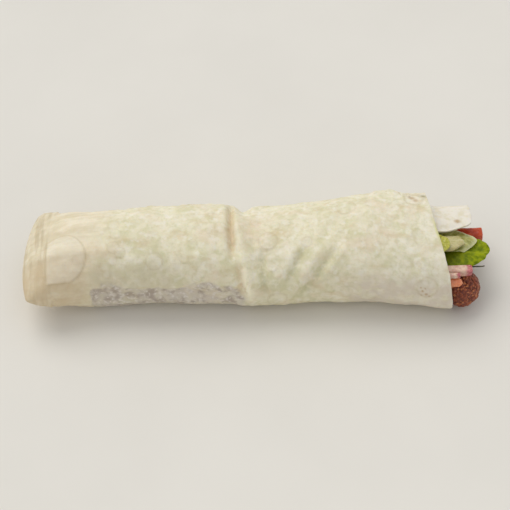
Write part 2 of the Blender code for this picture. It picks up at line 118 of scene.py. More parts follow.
# the ridge painted with a highlight
HIGHLIGHT_FOLDS = FOLDS[4:5]
# diagonal grooves whose valleys are darkened with a green-grey painted shade
SHADED_GROOVE_FOLDS = FOLDS[5:8]
# Softer creases, too low for the solid: start and end as (x, around), height, width.
LOW_FOLDS = (
    ((-154, 27), (-98, 32), 1.2, 4.6),
    ((-104, 79), (-14, 84), 0.7, 1.9),
    ((-96, 93), (-20, 96), -0.9, 4.6),
    ((-150, -22), (-112, -30), 0.5, 1.8),
    ((-16, 40), (-13, 96), 0.9, 3.0),
    ((-2, 20), (3, 60), -0.7, 2.2),
    ((36, 80), (57, 38), 0.9, 3.0),
    ((58, 88), (74, 58), -0.7, 3.0),
    ((44, 20), (56, -8), -0.5, 2.6),
    ((70, 96), (118, 106), 0.6, 2.6),
    ((-60, -20), (-34, -6), -0.4, 3.0),
    ((60, -110), (92, -70), -0.9, 3.4),
    ((-80, -100), (-40, -72), -0.8, 3.2),
)
BAND_X = (-109.0, -12.0)
BAND_AROUND = 80.0
BUBBLES = (
    ((-66, 47), 4.8, 0.7),
    ((-92.5, 28), 3.4, 0.5),
    ((-88, 35), 3.0, 0.5),
    ((8, 18), 5.4, 0.8),
    ((13, 99), 5.6, 0.6),
    ((110, 80), 5.8, 0.8),
    ((60, -20), 5.5, 0.6),
    ((-45, -60), 6.0, 0.7),
    ((85, -95), 7.0, 0.8),
)
PATCH_CENTRE = (-128.6, 36.0)
PATCH_RADIUS = 17.6
PATCH_LOWER_AROUND = 66.5
PATCH_HEIGHT = 0.7
SECOND_PATCH_X = -107.5
SECOND_PATCH_AROUND = (68.0, 116.0)

# Toasted spots on the sheet: (x, around), radius, strength.
FLAP_SPOT = (133.6, -12.0)
TOASTS = (
    ((-18.0, 6.0), 2.0, 0.45),
    ((-17.0, -6.0), 2.2, 0.4),
    ((104.6, -37.0), 2.6, 0.9),
    ((106.8, -31.5), 2.2, 0.8),
    ((107.0, 84.0), 0.9, 1.2),
    ((109.4, 88.5), 1.0, 1.2),
    ((105.6, 79.0), 0.7, 1.0),
    ((111.6, 91.5), 0.8, 1.1),
    ((108.6, 80.0), 0.7, 0.9),
    ((106.4, 90.0), 0.6, 0.9),
    ((40.0, -70.0), 3.0, 0.7),
    ((-70.0, -80.0), 2.6, 0.7),
    ((-96.0, -120.0), 3.4, 0.8),
    ((20.0, -115.0), 3.2, 0.8),
)
MOSS = ((112.6, -42.0), 2.0)
BLUSH = ((-2.0, 2.0), 13.0)  # a warm, faintly pink stretch beside the pinch
FINE_BLISTERS = 260
# Single small blisters: (x, around), radius, height.
EDGE_BLISTERS = ((105.6, -34.5, 4.8, 0.4), (112.4, -43.0, 2.6, 1.2), (100.5, -52.0, 3.0, 0.5))

KOFTE_END_X = 147.6
KOFTE_DOME = 13.0
KOFTE_PLACE = (-0.52, 0.305)
KOFTE_HALF_SIZE = (0.35, 0.265)
KOFTE_SAG = (-7.0, -3.4)
KOFTE_SAG_X = (114.0, 136.0)
KOFTE_SQUARENESS = 2.1
KOFTE_BUMP_ROOM = 0.6  # what the bumps may add past the paste's end
GRAINS_FROM_X = 118.0
GRAIN_SPACING = 1.25

SALAD_END_X = 127.0
SALAD_PLACE = (0.44, 0.375)
SALAD_HALF_SIZE = (0.38, 0.33)
SALAD_MOUTH_PLACE = (0.38, 0.22)
SALAD_MOUTH_HALF_SIZE = (0.28, 0.165)

# The leaves: place from one side to the other, then across, up and tip x in the filling space.
GREEN_LEAF = (
    (0.00, -0.620, 0.620, 142.0),
    (0.20, -0.430, 0.640, 151.0),
    (0.36, -0.270, 0.652, 153.6),
    (0.50, -0.110, 0.656, 151.0),
    (0.60, -0.026, 0.626, 145.0),
    (0.72, 0.000, 0.516, 136.0),
    (0.86, -0.040, 0.332, 126.0),
    (1.00, -0.080, 0.147, 118.0),
)
PALE_LEAF = (
    (0.00, -0.345, 0.692, 137.0),
    (0.20, -0.200, 0.704, 144.0),
    (0.36, -0.090, 0.708, 146.0),
    (0.54, 0.060, 0.700, 139.0),
    (0.68, 0.170, 0.680, 132.5),
    (0.82, 0.330, 0.642, 126.0),
    (0.91, 0.500, 0.600, 122.0),
    (1.00, 0.690, 0.510, 117.0),
)
PALE_LEAF_RISE = 0.185
LEAF_DETAIL_X = 100.0  # a leaf's rows lie closer together from here to its tip
FRILL_LEAF = (
    (0.00, -0.790, 0.720, 113.0),
    (0.25, -0.570, 0.842, 120.5),
    (0.48, -0.390, 0.862, 126.5),
    (0.70, -0.215, 0.861, 125.5),
    (1.00, 0.050, 0.846, 112.0),
)
# Cut pieces: start x, end x, middle y and z, width, height.
RADISH_LONG = (104.0, 140.6, -27.7, 31.5, 6.0, 5.8)
RADISH_SHORT = (103.0, 132.0, -33.4, 33.6, 3.2, 3.4)
TOMATO_FRONT = (104.0, 133.6, -34.0, 27.2, 5.4, 7.0)
TOMATO_BACK = (104.5, 152.0, 8.0, 25.2, 9.4, 7.8)
STEM = (127.0, 149.5, -22.3, 29.0, 0.9, 0.9)
RIB_START_X = -100.0
RIB_END_X = 136.8
RIB_THICKNESS = 2.5


# ---- Formulas shared by all pieces ----


def smooth_step(low, high, value):
    """0 at low, 1 at high, eased between them."""
    t = np.clip((value - low) / (high - low), 0.0, 1.0)
    return t * t * (3.0 - 2.0 * t)


def bell(value, centre, width):
    return np.exp(-(((value - centre) / width) ** 2))


def through(stations, x):
    """Smooth values at x through rows of (x, value, value, ...), one row of results for each value."""
    rows = np.array(stations, float)
    knots = rows[:, 0]
    values = rows[:, 1:]
    slopes = np.gradient(values, knots, axis=0)
    x = np.clip(np.atleast_1d(np.asarray(x, float)), knots[0], knots[-1])
    i = np.clip(np.searchsorted(knots, x, side="right") - 1, 0, len(knots) - 2)
    gap = (knots[i + 1] - knots[i])[:, None]
    t = (x - knots[i])[:, None] / gap
    start = values[i] * (1 + 2 * t) * (1 - t) ** 2 + slopes[i] * gap * t * (1 - t) ** 2
    end = values[i + 1] * (3 - 2 * t) * t**2 + slopes[i + 1] * gap * (t - 1) * t**2
    return (start + end).T


def noise(points, cell, seed):
    """Smooth noise from -1 to 1 in space, whose bumps are about cell millimetres apart."""
    size = 32
    table = np.random.default_rng(seed).uniform(-1.0, 1.0, (size, size, size))
    place = np.asarray(points, float) / cell + 1000.0
    base = np.floor(place).astype(int)
    part = place - base
    part = part * part * (3.0 - 2.0 * part)
    total = np.zeros(place.shape[:-1])
    for corner in range(8):
        step = np.array([corner & 1, corner >> 1 & 1, corner >> 2 & 1])
        weight = np.prod(np.where(step == 1, part, 1.0 - part), axis=-1)
        index = (base + step) % size
        total += weight * table[index[..., 0], index[..., 1], index[..., 2]]
    return total


def mesh_piece(name, shape, material, node, marks):
    """A smooth piece of the wrap: points in millimetres, faces, and named float marks on its points."""
    points, faces = shape
    mesh = bpy.data.meshes.new(name)
    mesh.from_pydata((points * MM).tolist(), [], faces)
    mesh.update()
    mesh.shade_smooth()
    for mark, values in marks.items():
        attribute = mesh.attributes.new(mark, "FLOAT", "POINT")
        attribute.data.foreach_set("value", np.asarray(values, np.float32).ravel())
    mesh.materials.append(material)
    piece = bpy.data.objects.new(name, mesh)
    bpy.context.scene.collection.objects.link(piece)
    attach(piece, "root")
    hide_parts(node)


def ring_faces(ring_count, columns):
    """Quads between rings of points, each ring closed on itself."""
    ring = np.arange(ring_count - 1)[:, None] * columns
    column = np.arange(columns)[None, :]
    after = (column + 1) % columns
    further = ring + columns
    quads = np.stack([ring + column, ring + after, further + after, further + column], axis=-1)
    return quads.reshape(-1, 4)


# ---- Lavash ----


def roll_size(x):
    """Half width, underside height and top height at one x."""
    return through(ROLL, x)[:, 0]


def outline(half_width, underside, top, sag=SAG):
    """Points (y, z) and outward normals of one cross-section, evenly spaced along the sheet."""
    turn = np.linspace(0.0, 2 * np.pi, SECTION_STEPS)
    middle = (underside + top) / 2
    upper = np.cos(turn) > 0
    power = np.where(upper, 2 / TOP_SQUARENESS, 2 / UNDERSIDE_SQUARENESS)
    half_height = np.where(upper, top - middle, middle - underside + sag)
    y = -half_width * np.sign(np.sin(turn)) * np.abs(np.sin(turn)) ** power
    z = middle + half_height * np.sign(np.cos(turn)) * np.abs(np.cos(turn)) ** power
    z = np.maximum(z, underside)
    length = np.concatenate([[0.0], np.cumsum(np.hypot(np.diff(y), np.diff(z)))])
    places = np.arange(COLUMNS) / COLUMNS * length[-1]
    points = np.stack([np.interp(places, length, y), np.interp(places, length, z)], axis=1)
    ahead = np.roll(points, -1, axis=0) - np.roll(points, 1, axis=0)
    normals = np.stack([ahead[:, 1], -ahead[:, 0]], axis=1)
    return points, normals / np.linalg.norm(normals, axis=1)[:, None]


def signed_around():
    """Each column's place round the section, from -180 to 180 degrees."""
    around = np.arange(COLUMNS) / COLUMNS * 360.0
    return np.where(around > 180.0, around - 360.0, around)


def fold(x, around, start, end, height, width):
    """A ridge, or with a negative height a valley, that fades out past both ends of its line."""
    run = np.array([end[0] - start[0], (end[1] - start[1]) * MM_PER_DEGREE])
    offset_x = x - start[0]
    offset_around = (around - start[1]) * MM_PER_DEGREE
    along = (offset_x * run[0] + offset_around * run[1]) / (run @ run)
    across = (offset_x * run[1] - offset_around * run[0]) / np.hypot(*run)
    fade = smooth_step(-0.25, 0.15, along) * smooth_step(1.25, 0.85, along)
    return height * bell(across, 0.0, width) * fade


def sheet_reach(x, around, centre):
    """Distance on the sheet from a place on it, in millimetres."""
    return np.hypot(x - centre[0], (around - centre[1]) * MM_PER_DEGREE)


def bubble(x, around, centre, radius, height):
    """A baked bubble: a low blister with a crisp, uneven rim."""
    across = (around - centre[1]) * MM_PER_DEGREE
    turn = np.arctan2(across, x - centre[0])
    uneven = 1 + 0.07 * np.sin(3 * turn + radius) + 0.04 * np.sin(5 * turn)
    reach = sheet_reach(x, around, centre) / radius * uneven
    ring = bell(reach, 1.0, 0.10) * (0.75 + 0.45 * np.sin(2 * turn + 3 * radius))
    inner_ring = bell(reach, 0.62, 0.10) * (0.2 + 0.2 * np.sin(3 * turn + radius))
    return height * (0.55 * smooth_step(1.12, 0.55, reach) + 0.75 * ring + inner_ring)


def band(x, around, blur=1.0):
    """The strip along the lower front where the sheet turns under."""
    start, end = BAND_X
    along = smooth_step(start - 0.6 * blur, start + 0.6 * blur, x) * smooth_step(end + 12, end - 6, x)
    edge = BAND_AROUND + 4.5 * np.sin(x / 11.0 + 1.0) + 2.0 * np.sin(x / 4.7)
    across = smooth_step(edge - 2.0 * blur, edge + 2.0 * blur, around) * smooth_step(150.0, 125.0, around)
    return along * across


def patch_inside(x, around):
    """How far inside the large blister at the closed end a place is."""
    from_rim = PATCH_RADIUS - sheet_reach(x, around, PATCH_CENTRE)
    from_fold = x - END_FOLD_X
    from_lower = (PATCH_LOWER_AROUND - around) * MM_PER_DEGREE
    return np.minimum(np.minimum(from_rim, from_fold), from_lower)


def second_patch(x, around):
    low, high = SECOND_PATCH_AROUND
    patch = smooth_step(-0.8, 0.8, x - SECOND_PATCH_X) * smooth_step(14, 2, x - SECOND_PATCH_X)
    return patch * smooth_step(low - 4, low + 4, around) * smooth_step(high + 12, high, around)


def relief(x, around):
    """How far the sheet stands out from its plain section, as in the part itself."""
    height = 0.45 * np.sin(x / 11.0 + np.radians(2 * around)) * np.sin(x / 29.0 - np.radians(around))
    height = height + 0.35 * np.sin(x / 7.3 + 1.0) * np.sin(np.radians(5 * around) + x / 17.0)
    for start, end, size, width in FOLDS + LOW_FOLDS:
        height = height + fold(x, around, start, end, size, width)
    height = height - 0.45 * band(x, around)
    for centre, radius, size in BUBBLES:
        height = height + bubble(x, around, centre, radius, size)
    patch = smooth_step(-0.6, 0.6, patch_inside(x, around))
    height = height + PATCH_HEIGHT * (patch + 0.7 * second_patch(x, around))
    height = height + END_FOLD_STEP * smooth_step(END_FOLD_X + 0.7, END_FOLD_X - 0.7, x)
    since_seam = np.mod(around - SEAM_AROUND, 360.0)
    seam = SHEET * (since_seam / 360.0 - 0.5) * smooth_step(0.0, 2.5, since_seam)
    height = height + seam * smooth_step(END_FOLD_X, END_FOLD_X + 40, x)
    farthest = MOUTH_X + MOUTH_SLANT
    flare = smooth_step(farthest - MOUTH_FLARE_LENGTH, farthest, x) * bell(around, MOUTH_FLARE_AROUND, 20.0)
    height = height + MOUTH_FLARE * flare
    return height


def fine_blisters():
    """Small baked rings all over the sheet: places, radii and heights."""
    random = np.random.default_rng(21)
    x = random.uniform(-100.0, 126.0, FINE_BLISTERS)
    around = random.uniform(-180.0, 180.0, FINE_BLISTERS)
    radius = random.uniform(0.9, 3.2, FINE_BLISTERS)
    height = random.uniform(0.10, 0.26, FINE_BLISTERS)
    return list(zip(x, around, radius, height)) + list(EDGE_BLISTERS)


def fine_relief(points, x, around):
    """Crumb and blisters too small for the solid."""
    height = 0.38 * noise(points, 8.0, 1) + 0.30 * noise(points, 3.6, 2) + 0.14 * noise(points, 1.9, 3)
    for centre_x, centre_around, radius, size in fine_blisters():
        near = np.abs(x - centre_x) < 2 * radius
        if near.any():
            reach = sheet_reach(x[near], around[near], (centre_x, centre_around)) / radius
            ring = bell(reach, 1.0, 0.25) + 0.45 * smooth_step(1.0, 0.7, reach)
            height[near] += size * ring
    return height


def end_shift(y):
    """The closed edge bows outwards, most just in front of the middle line."""
    to_back = np.clip((y + 10.0) / 48.0, 0.0, 1.0)
    to_front = np.clip((-10.0 - y) / 28.0, 0.0, 1.0)
    return END_CORNER_BACK * to_back**2.4 + END_CORNER_FRONT * to_front**2


def mouth_x(around):
    return MOUTH_X - MOUTH_SLANT * np.cos(np.radians(around - MOUTH_SLANT_AROUND))


def torn(around, seed, size):
    """The slight waver of a baked sheet's edge."""
    turn = np.radians(around)
    place = np.stack([np.cos(turn) * 30, np.sin(turn) * 30, np.full_like(turn, seed * 7.0)], axis=-1)
    return size * (noise(place, 6.0, seed) + 0.5 * noise(place, 2.5, seed + 1))


def slant(x, around):
    """How far a ring's points move along X, so that the last ring follows the mouth."""
    farthest = MOUTH_X + MOUTH_SLANT
    return (mouth_x(around) - farthest) * smooth_step(farthest - 75, farthest, x)


def station_at(x, around):
    """The x before the slant of a place that the slant moves to this x."""
    station = x
    for _ in range(12):
        station = x - slant(station, around)
    return station


def along_ring(x, y, around):
    bow = end_shift(y) * smooth_step(ROLL[0][0] + 40, ROLL[0][0], x)
    return x + bow + slant(x, around)


def outer_plain(x):
    """One ring of the outside before any relief, with its normals and how far the end has rounded."""
    half_width, underside, top = roll_size(x)
    from_end = x - ROLL[0][0]
    nose = np.sqrt(1 - (1 - np.clip(from_end / END_NOSE, 0, 1)) ** 2)
    middle = (underside + top) / 2
    half_height = END_EDGE_THICKNESS / 2 + ((top - underside) - END_EDGE_THICKNESS) / 2 * nose
    half_width = half_width - 2.5 * (1 - nose)
    sag = SAG * smooth_step(-128, -112, x)
    points, normals = outline(half_width, middle - half_height, middle + half_height, sag)
    return points, normals, nose


def outer_rings():
    """All rings of the roll's outside, with the sheet place of every point."""
    around = signed_around()
    start, farthest = ROLL[0][0], MOUTH_X + MOUTH_SLANT
    nose_x = start + END_NOSE * (1 - np.cos(np.linspace(0.0, np.pi / 2, 12)))
    xs = np.concatenate([nose_x, np.linspace(start + END_NOSE, farthest, OUTER_RINGS)[1:]])
    plain, normals, noses = zip(*[outer_plain(x) for x in xs])
    plain, normals = np.array(plain), np.array(normals)
    x = np.broadcast_to(xs[:, None], plain.shape[:2])
    turn = np.broadcast_to(around, x.shape)
    places = np.concatenate([x[..., None], plain], axis=-1)
    on_floor = smooth_step(128.0, 150.0, np.abs(turn))
    height = relief(x, turn) * (1.0 - on_floor) + fine_relief(places, x, turn) * (1.0 - 0.8 * on_floor)
    height = height * np.array(noses)[:, None]
    moved = plain + normals * height[..., None]
    moved[..., 1] = np.maximum(moved[..., 1], 0.0)
    true_x = along_ring(x, moved[..., 0], turn)
    true_x = true_x + torn(turn, 40, 0.35) * smooth_step(farthest - 6, farthest, x)
    return np.concatenate([true_x[..., None], moved], axis=-1), turn, height


def followed(outside, height, x_round):
    """How far the sheet's outside stands out at an x of each column's own."""
    return np.array(
        [np.interp(x, outside[:, column, 0], height[:, column]) for column, x in enumerate(x_round)]
    )


def inset_ring(x_round, depth):
    """A ring inside the roll, at its own x in each column and a depth below the plain section."""
    depth = np.broadcast_to(depth, (COLUMNS,))
    ring = np.empty((COLUMNS, 3))
    stations = station_at(x_round, signed_around())
    for column, x in enumerate(x_round):
        half_width, underside, top = roll_size(stations[column])
        points, normals = outline(half_width, underside, top)
        ring[column, 0] = x
        ring[column, 1:] = points[column] - normals[column] * depth[column]
    return ring


def lining_depth(x, around=0.0):
    above_floor = smooth_step(140.0, 105.0, np.abs(around))
    return LINING + CREASE_LINING * bell(x, CREASE_X, CREASE_SPREAD) * above_floor


def ply_gap(x, around):
    sector = smooth_step(18.0, 0.0, around) * smooth_step(-165.0, -120.0, around)
    return PLY_GAP + FLAP_DROP * sector * smooth_step(SLIT_DEEP_X - 4, 126.0, x)


def inner_ply_x(around):
    sector = smooth_step(14.0, -10.0, around) * smooth_step(-150.0, -112.0, around)
    return INNER_PLY_X + (FLAP_X - INNER_PLY_X) * sector


def rounded_edge(outer, inner):
    """Rings that carry a sheet's outer face round its edge to its inner face."""
    rings = []
    for turn in np.radians([25.0, 55.0, 90.0, 125.0, 155.0]):
        share = (1 - np.cos(turn)) / 2
        ring = outer + (inner - outer) * share
        ring[:, 0] += EDGE_BULGE * np.sin(turn)
        rings.append(ring)
    return rings


def roughened(ring, seed, size):
    """A ring of an inner face, lifted slightly by the sheet's own unevenness."""
    centre = ring.mean(axis=0)
    outward = ring - centre
    outward[:, 0] = 0.0
    outward /= np.linalg.norm(outward, axis=1)[:, None] + 1e-9
    return ring + outward * (size * noise(ring, 4.5, seed))[:, None]


def inner_rings(outside, height):
    """The mouth's edge, the slit between the plies, the flap and the lining, in order."""
    around = signed_around()
    rim = mouth_x(around)
    last = outside[-1]

    def ply_ring(x_round, depth, unevenness):
        ring = inset_ring(x_round, depth - followed(outside, height, x_round))
        return roughened(ring, 61, unevenness)

    inward = inset_ring(rim, SHEET) - inset_ring(rim, 0.0)
    rings = rounded_edge(last, last + inward)
    rings.append(last + inward)
    slit = np.full(COLUMNS, SLIT_DEEP_X)
    for share in np.linspace(0.08, 1.0, 12):
        rings.append(ply_ring(rim + (slit - rim) * share, SHEET, 0.0))
    rings.append(ply_ring(slit, SHEET + PLY_GAP, 0.0))
    ply_edge = inner_ply_x(around) + torn(around, 50, 0.9)
    steps = np.linspace(0.05, 1.0, 26)

    def add_ply_face(depth, shares):
        for share in shares:
            x_round = slit + (ply_edge - slit) * share
            rings.append(ply_ring(x_round, depth + ply_gap(x_round, around), 0.5 * share))

    add_ply_face(SHEET, steps)
    outer_edge = rings[-1]
    inner_edge = ply_ring(ply_edge, 2 * SHEET + ply_gap(ply_edge, around), 0.5)
    rings += rounded_edge(outer_edge, inner_edge)
    add_ply_face(2 * SHEET, steps[::-1])
    flap_count = len(rings)
    for x in LINING_STATIONS:
        rings.append(inset_ring(np.full(COLUMNS, x), lining_depth(x, around)))
    return rings, flap_count


def closed_edge():
    """The narrow strip that closes the first ring, from its upper to its lower half."""
    quarter = COLUMNS // 4
    triangles = []
    for step in range(-quarter, quarter):
        upper, upper_next = step % COLUMNS, (step + 1) % COLUMNS
        lower, lower_next = (2 * quarter - step) % COLUMNS, (2 * quarter - step - 1) % COLUMNS
        if upper != lower:
            triangles.append((upper_next, upper, lower))
        if upper_next != lower_next:
            triangles.append((lower_next, upper_next, lower))
    return triangles


def along_folds(x, around, folds, wider):
    """How near the line of any of these folds a place is."""
    near = np.zeros_like(x)
    for start, end, _, width in folds:
        near = np.maximum(near, fold(x, around, start, end, 1.0, width + wider))
    return near


def lavash_marks(x, around):
    """How strongly each point of the sheet takes each tint: toasted, pale, ringed, painted shade in
    creases, grooves and on the lower side, a painted highlight on a ridge, and so on.
    """
    toast = np.zeros_like(x)
    for centre, radius, strength in TOASTS:
        toast = np.maximum(toast, strength * bell(sheet_reach(x, around, centre), 0.0, radius))
    pale = 0.4 * smooth_step(-0.6, 1.2, patch_inside(x, around))
    # rim: a painted shadow line just outside the raised rim of the patch and of the blisters
    rim = bell(patch_inside(x, around), -0.5, 0.55)
    for centre, radius, _ in BUBBLES:
        reach = sheet_reach(x, around, centre) / radius
        pale = pale + 0.3 * smooth_step(1.1, 0.5, reach)
        rim = np.maximum(rim, 0.8 * bell(reach, 1.14, 0.12))
    for centre_x, centre_around, radius, size in fine_blisters():
        near = np.abs(x - centre_x) < 2 * radius
        reach = sheet_reach(x[near], around[near], (centre_x, centre_around)) / radius
        pale[near] += 2.0 * size * smooth_step(1.1, 0.4, reach)
        rim[near] = np.maximum(rim[near], 2.4 * size * bell(reach, 1.3, 0.2))
    end = smooth_step(-86.0, -112.0, x + 0.12 * around)
    low_front = smooth_step(58.0, 82.0, around) * smooth_step(140.0, 118.0, around)
    near_end = smooth_step(-30.0, -74.0, x) * smooth_step(-112.0, -102.0, x)
    highlight_folds = along_folds(x, around, HIGHLIGHT_FOLDS, -0.6)
    marks = {
        "toast": toast,
        "pale": pale,
        "rim": rim,
        # painted shade along the crease valleys
        "crease_shade": along_folds(x, around, SHADED_CREASE_FOLDS, 0.6),
        "end": end,
        # the strip that turns under; its grey colour is partly painted shade
        "band": band(x, around, blur=5.0),
        # a greyish pink tint on the lower front, partly painted shade of the side facing down
        "rosy_low_shade": smooth_step(48.0, 72.0, x) * low_front,
        "tuck": smooth_step(END_FOLD_X + 0.8, END_FOLD_X - 0.8, x),
        # painted shade on the lower side near the closed end
        "low_side_shade": near_end * smooth_step(36.0, 60.0, around) * smooth_step(150.0, 125.0, around),
        "blush": bell(sheet_reach(x, around, BLUSH[0]), 0.0, BLUSH[1]),
        # painted shade along the diagonal grooves
        "groove_shade": along_folds(x, around, SHADED_GROOVE_FOLDS, 1.5),
        # painted highlight along the lit ridge, strongest low on the front
        "light": highlight_folds * (0.35 + 0.65 * smooth_step(30.0, 70.0, around)),
        # painted shade on the lower half of the closed end
        "lower_end_shade": end * smooth_step(26.0, 35.0, around),
        "moss": bell(sheet_reach(x, around, MOSS[0]), 0.0, MOSS[1]),
        "leafy": smooth_step(-1.8, -0.5, x - mouth_x(around)) * bell(around, 16.0, 13.0),
        "mouth": smooth_step(60.0, 112.0, x),
    }
    return {name: np.clip(values, 0, 1) for name, values in marks.items()}


def lavash():
    outside, turn, height = outer_rings()
    ring_count = len(outside)
    inner, flap_count = inner_rings(outside, height)
    points = np.concatenate([outside, np.array(inner)])
    around = np.concatenate([turn, np.broadcast_to(signed_around(), (len(inner), COLUMNS))])
    marks = lavash_marks(points[..., 0], around)
    inside = np.zeros(points.shape[:2])
    inside[ring_count + 6 : ring_count + flap_count] = 1.0
    flap_spot = 1.2 * bell(sheet_reach(points[..., 0], around, FLAP_SPOT), 0.0, 2.0)
    marks["toast"] = np.where(inside > 0, flap_spot, marks["toast"])
    for name in marks:
        if name not in ("toast", "pale", "end"):
            marks[name] = np.where(inside > 0, 0.0, marks[name])
    marks["inside"] = inside
    marks["deep"] = np.zeros(points.shape[:2])
    marks["deep"][ring_count + flap_count :] = 1.0
    faces = ring_faces(len(points), COLUMNS).tolist()
    faces += closed_edge()
    flat = points.reshape(-1, 3)
    centre = len(flat)
    flat = np.vstack([flat, points[-1].mean(axis=0)])
    last_start = centre - COLUMNS
    for column in range(COLUMNS):
        faces.append([last_start + column, last_start + (column + 1) % COLUMNS, centre])
    marks = {name: np.append(values.ravel(), 0.0) for name, values in marks.items()}
    mesh_piece("lavash_sheet", (flat, faces), lavash_material(), "lavash", marks)


# ---- Filling ----


def filling_place(x, across, up):
    """A point of the filling space: across from -1 at the front to 1 at the back, up from 0 to 1."""
    half_width, underside, top = through(ROLL, x)
    depth = lining_depth(x)
    low = np.maximum(underside, 0.0) + LINING
    high = top - depth
    y = across * (half_width - depth)
    z = low + up * (high - low)
    return np.stack(np.broadcast_arrays(x, y, z), axis=-1)


def log_in_filling(x, place, reach, taper):
    """Centres and half sizes of a log from its place and reach in the filling space."""
    middle = filling_place(x, place[0], place[1])
    corner = filling_place(x, place[0] + reach[0], place[1] + reach[1])
    return middle, (corner - middle)[:, 1:] * taper[:, None]


def log_points(centres, half_sizes, squareness, columns):
    """Rings of a log along X, with the outward direction of each point."""
    turn = np.arange(columns) / columns * 2 * np.pi
    shape_y = -np.sign(np.sin(turn)) * np.abs(np.sin(turn)) ** (2 / squareness)
    shape_z = np.sign(np.cos(turn)) * np.abs(np.cos(turn)) ** (2 / squareness)
    points = np.empty((len(centres), columns, 3))
    points[..., 0] = centres[:, 0, None]
    points[..., 1] = centres[:, 1, None] + shape_y * half_sizes[:, 0, None]
    points[..., 2] = centres[:, 2, None] + shape_z * half_sizes[:, 1, None]
    along = np.gradient(points, axis=0)
    sideways = np.roll(points, -1, axis=1) - np.roll(points, 1, axis=1)
    normals = np.cross(sideways, along)
    normals /= np.linalg.norm(normals, axis=2)[..., None] + 1e-9
    return points, normals


def log_shape(points):
    """Points and faces of a log closed at both ends."""
    rings, columns = points.shape[:2]
    flat = points.reshape(-1, 3)
    faces = ring_faces(rings, columns).tolist()
    first, last = len(flat), len(flat) + 1
    flat = np.vstack([flat, points[0].mean(axis=0), points[-1].mean(axis=0)])
    last_start = (rings - 1) * columns
    for column in range(columns):
        after = (column + 1) % columns
        faces.append([first, after, column])
        faces.append([last, last_start + column, last_start + after])
    return flat, faces


def with_ends(values, first=0.0, last=0.0):
    return np.append(np.asarray(values).ravel(), [first, last])


def kofte():
    """The log of bulgur paste: cracked and rough, with whole grains standing out where it shows."""
    straight = np.concatenate([np.linspace(FILLING_START_X, 96.0, 30), np.linspace(98.0, 136.0, 70)])
    dome_turn = np.radians(np.linspace(1.0, 88.0, 60))
    tip_x = KOFTE_END_X - KOFTE_BUMP_ROOM
    dome = tip_x - KOFTE_DOME * (1 - np.sin(dome_turn))
    x = np.concatenate([straight, dome[dome > 136.3]])
    dome_start = tip_x - KOFTE_DOME
    start_taper = np.sqrt(np.clip(1 - ((FILLING_START_X + 5 - x) / 6.0).clip(0) ** 2, 0.3, 1))
    end_taper = np.sqrt(np.clip(1 - ((x - dome_start) / KOFTE_DOME).clip(0) ** 2, 0.0, 1))
    middle, half = log_in_filling(x, KOFTE_PLACE, KOFTE_HALF_SIZE, start_taper * end_taper)
    middle[:, 1:] += np.outer(smooth_step(*KOFTE_SAG_X, x), KOFTE_SAG)
    points, normals = log_points(middle, half, KOFTE_SQUARENESS, 170)
    shown = smooth_step(100.0, 118.0, points[..., 0])
    bumps = 0.55 * noise(points, 5.0, 11) + 0.42 * noise(points, 2.1, 12)
    bumps = bumps + 0.3 * np.abs(noise(points, 1.1, 13))
    cracks = -0.8 * bell(noise(points, 6.5, 14), 0.0, 0.07)
    height = (bumps + cracks - 0.25) * shown
    points = points + normals * height[..., None]
    points[..., 2] = np.maximum(points[..., 2], 0.4)
    tone = with_ends(0.5 + 0.5 * noise(points, 2.4, 15))
    # the crack mark darkens the cracks in the colour: painted shade
    marks = {"crack_shade": with_ends(-cracks), "tone": tone}
    mesh_piece("kofte_paste", log_shape(points), kofte_material(), "kofte", marks)
    grains(points, normals)


def grains(points, normals):
    """Bulgur grains half sunk in the kofte where it leaves the wrap."""
    random = np.random.default_rng(33)
    candidates = np.argwhere(points[..., 0] > GRAINS_FROM_X)
    taken = set()
    chosen = []
    for index in random.permutation(len(candidates)):
        place = points[tuple(candidates[index])]
        cell = tuple(np.floor(place / GRAIN_SPACING).astype(int))
        if cell not in taken:
            taken.add(cell)
            chosen.append(tuple(candidates[index]))
    grain_points, grain_faces = grain_shape()
    all_points, all_faces, tones = [], [], []
    for number, (ring, column) in enumerate(chosen):
        place, normal = points[ring, column], normals[ring, column]
        length = random.uniform(0.6, 1.25)
        width = length * random.uniform(0.45, 0.8)
        turn = Matrix.Rotation(random.uniform(0, 2 * math.pi), 3, "Z")
        upright = Vector(normal).to_track_quat("Z", "Y").to_matrix() @ turn
        scaled = grain_points * np.array([length, width, width * 0.8])
        placed = scaled @ np.array(upright).T + place - normal * width * 0.25
        all_points.append(placed)
        all_faces.append(grain_faces + number * len(grain_points))
        tones.append(np.full(len(grain_points), random.uniform(0, 1)))
    stacked = np.concatenate(all_points)
    stacked[:, 2] = np.maximum(stacked[:, 2], 0.3)
    stacked[:, 0] = np.minimum(stacked[:, 0], KOFTE_END_X + 0.4)
    shape = (stacked, np.concatenate(all_faces).tolist())
    marks = {"tone": np.concatenate(tones)}
    mesh_piece("kofte_grains", shape, grain_material(), "kofte", marks)


def grain_shape():
    """A cracked grain's rough form: a small closed body with few sides."""
    rings = []
    for height, radius in ((-0.8, 0.55), (-0.3, 0.95), (0.3, 0.95), (0.8, 0.55)):
        turn = np.arange(6) / 6 * 2 * np.pi + height
        rings.append(np.column_stack([np.full(6, height), np.cos(turn) * radius, np.sin(turn) * radius]))
    points = np.concatenate([*rings, [[-1.0, 0, 0], [1.0, 0, 0]]])
    faces = []
    for ring in range(3):
        for column in range(6):
            a, b = ring * 6 + column, ring * 6 + (column + 1) % 6
            faces += [(a, b, a + 6), (b, b + 6, a + 6)]
    for column in range(6):
        after = (column + 1) % 6
        faces.append((24, after, column))
        faces.append((25, 18 + column, 18 + after))
    faces = np.array(faces)[:, ::-1]
    return points, faces


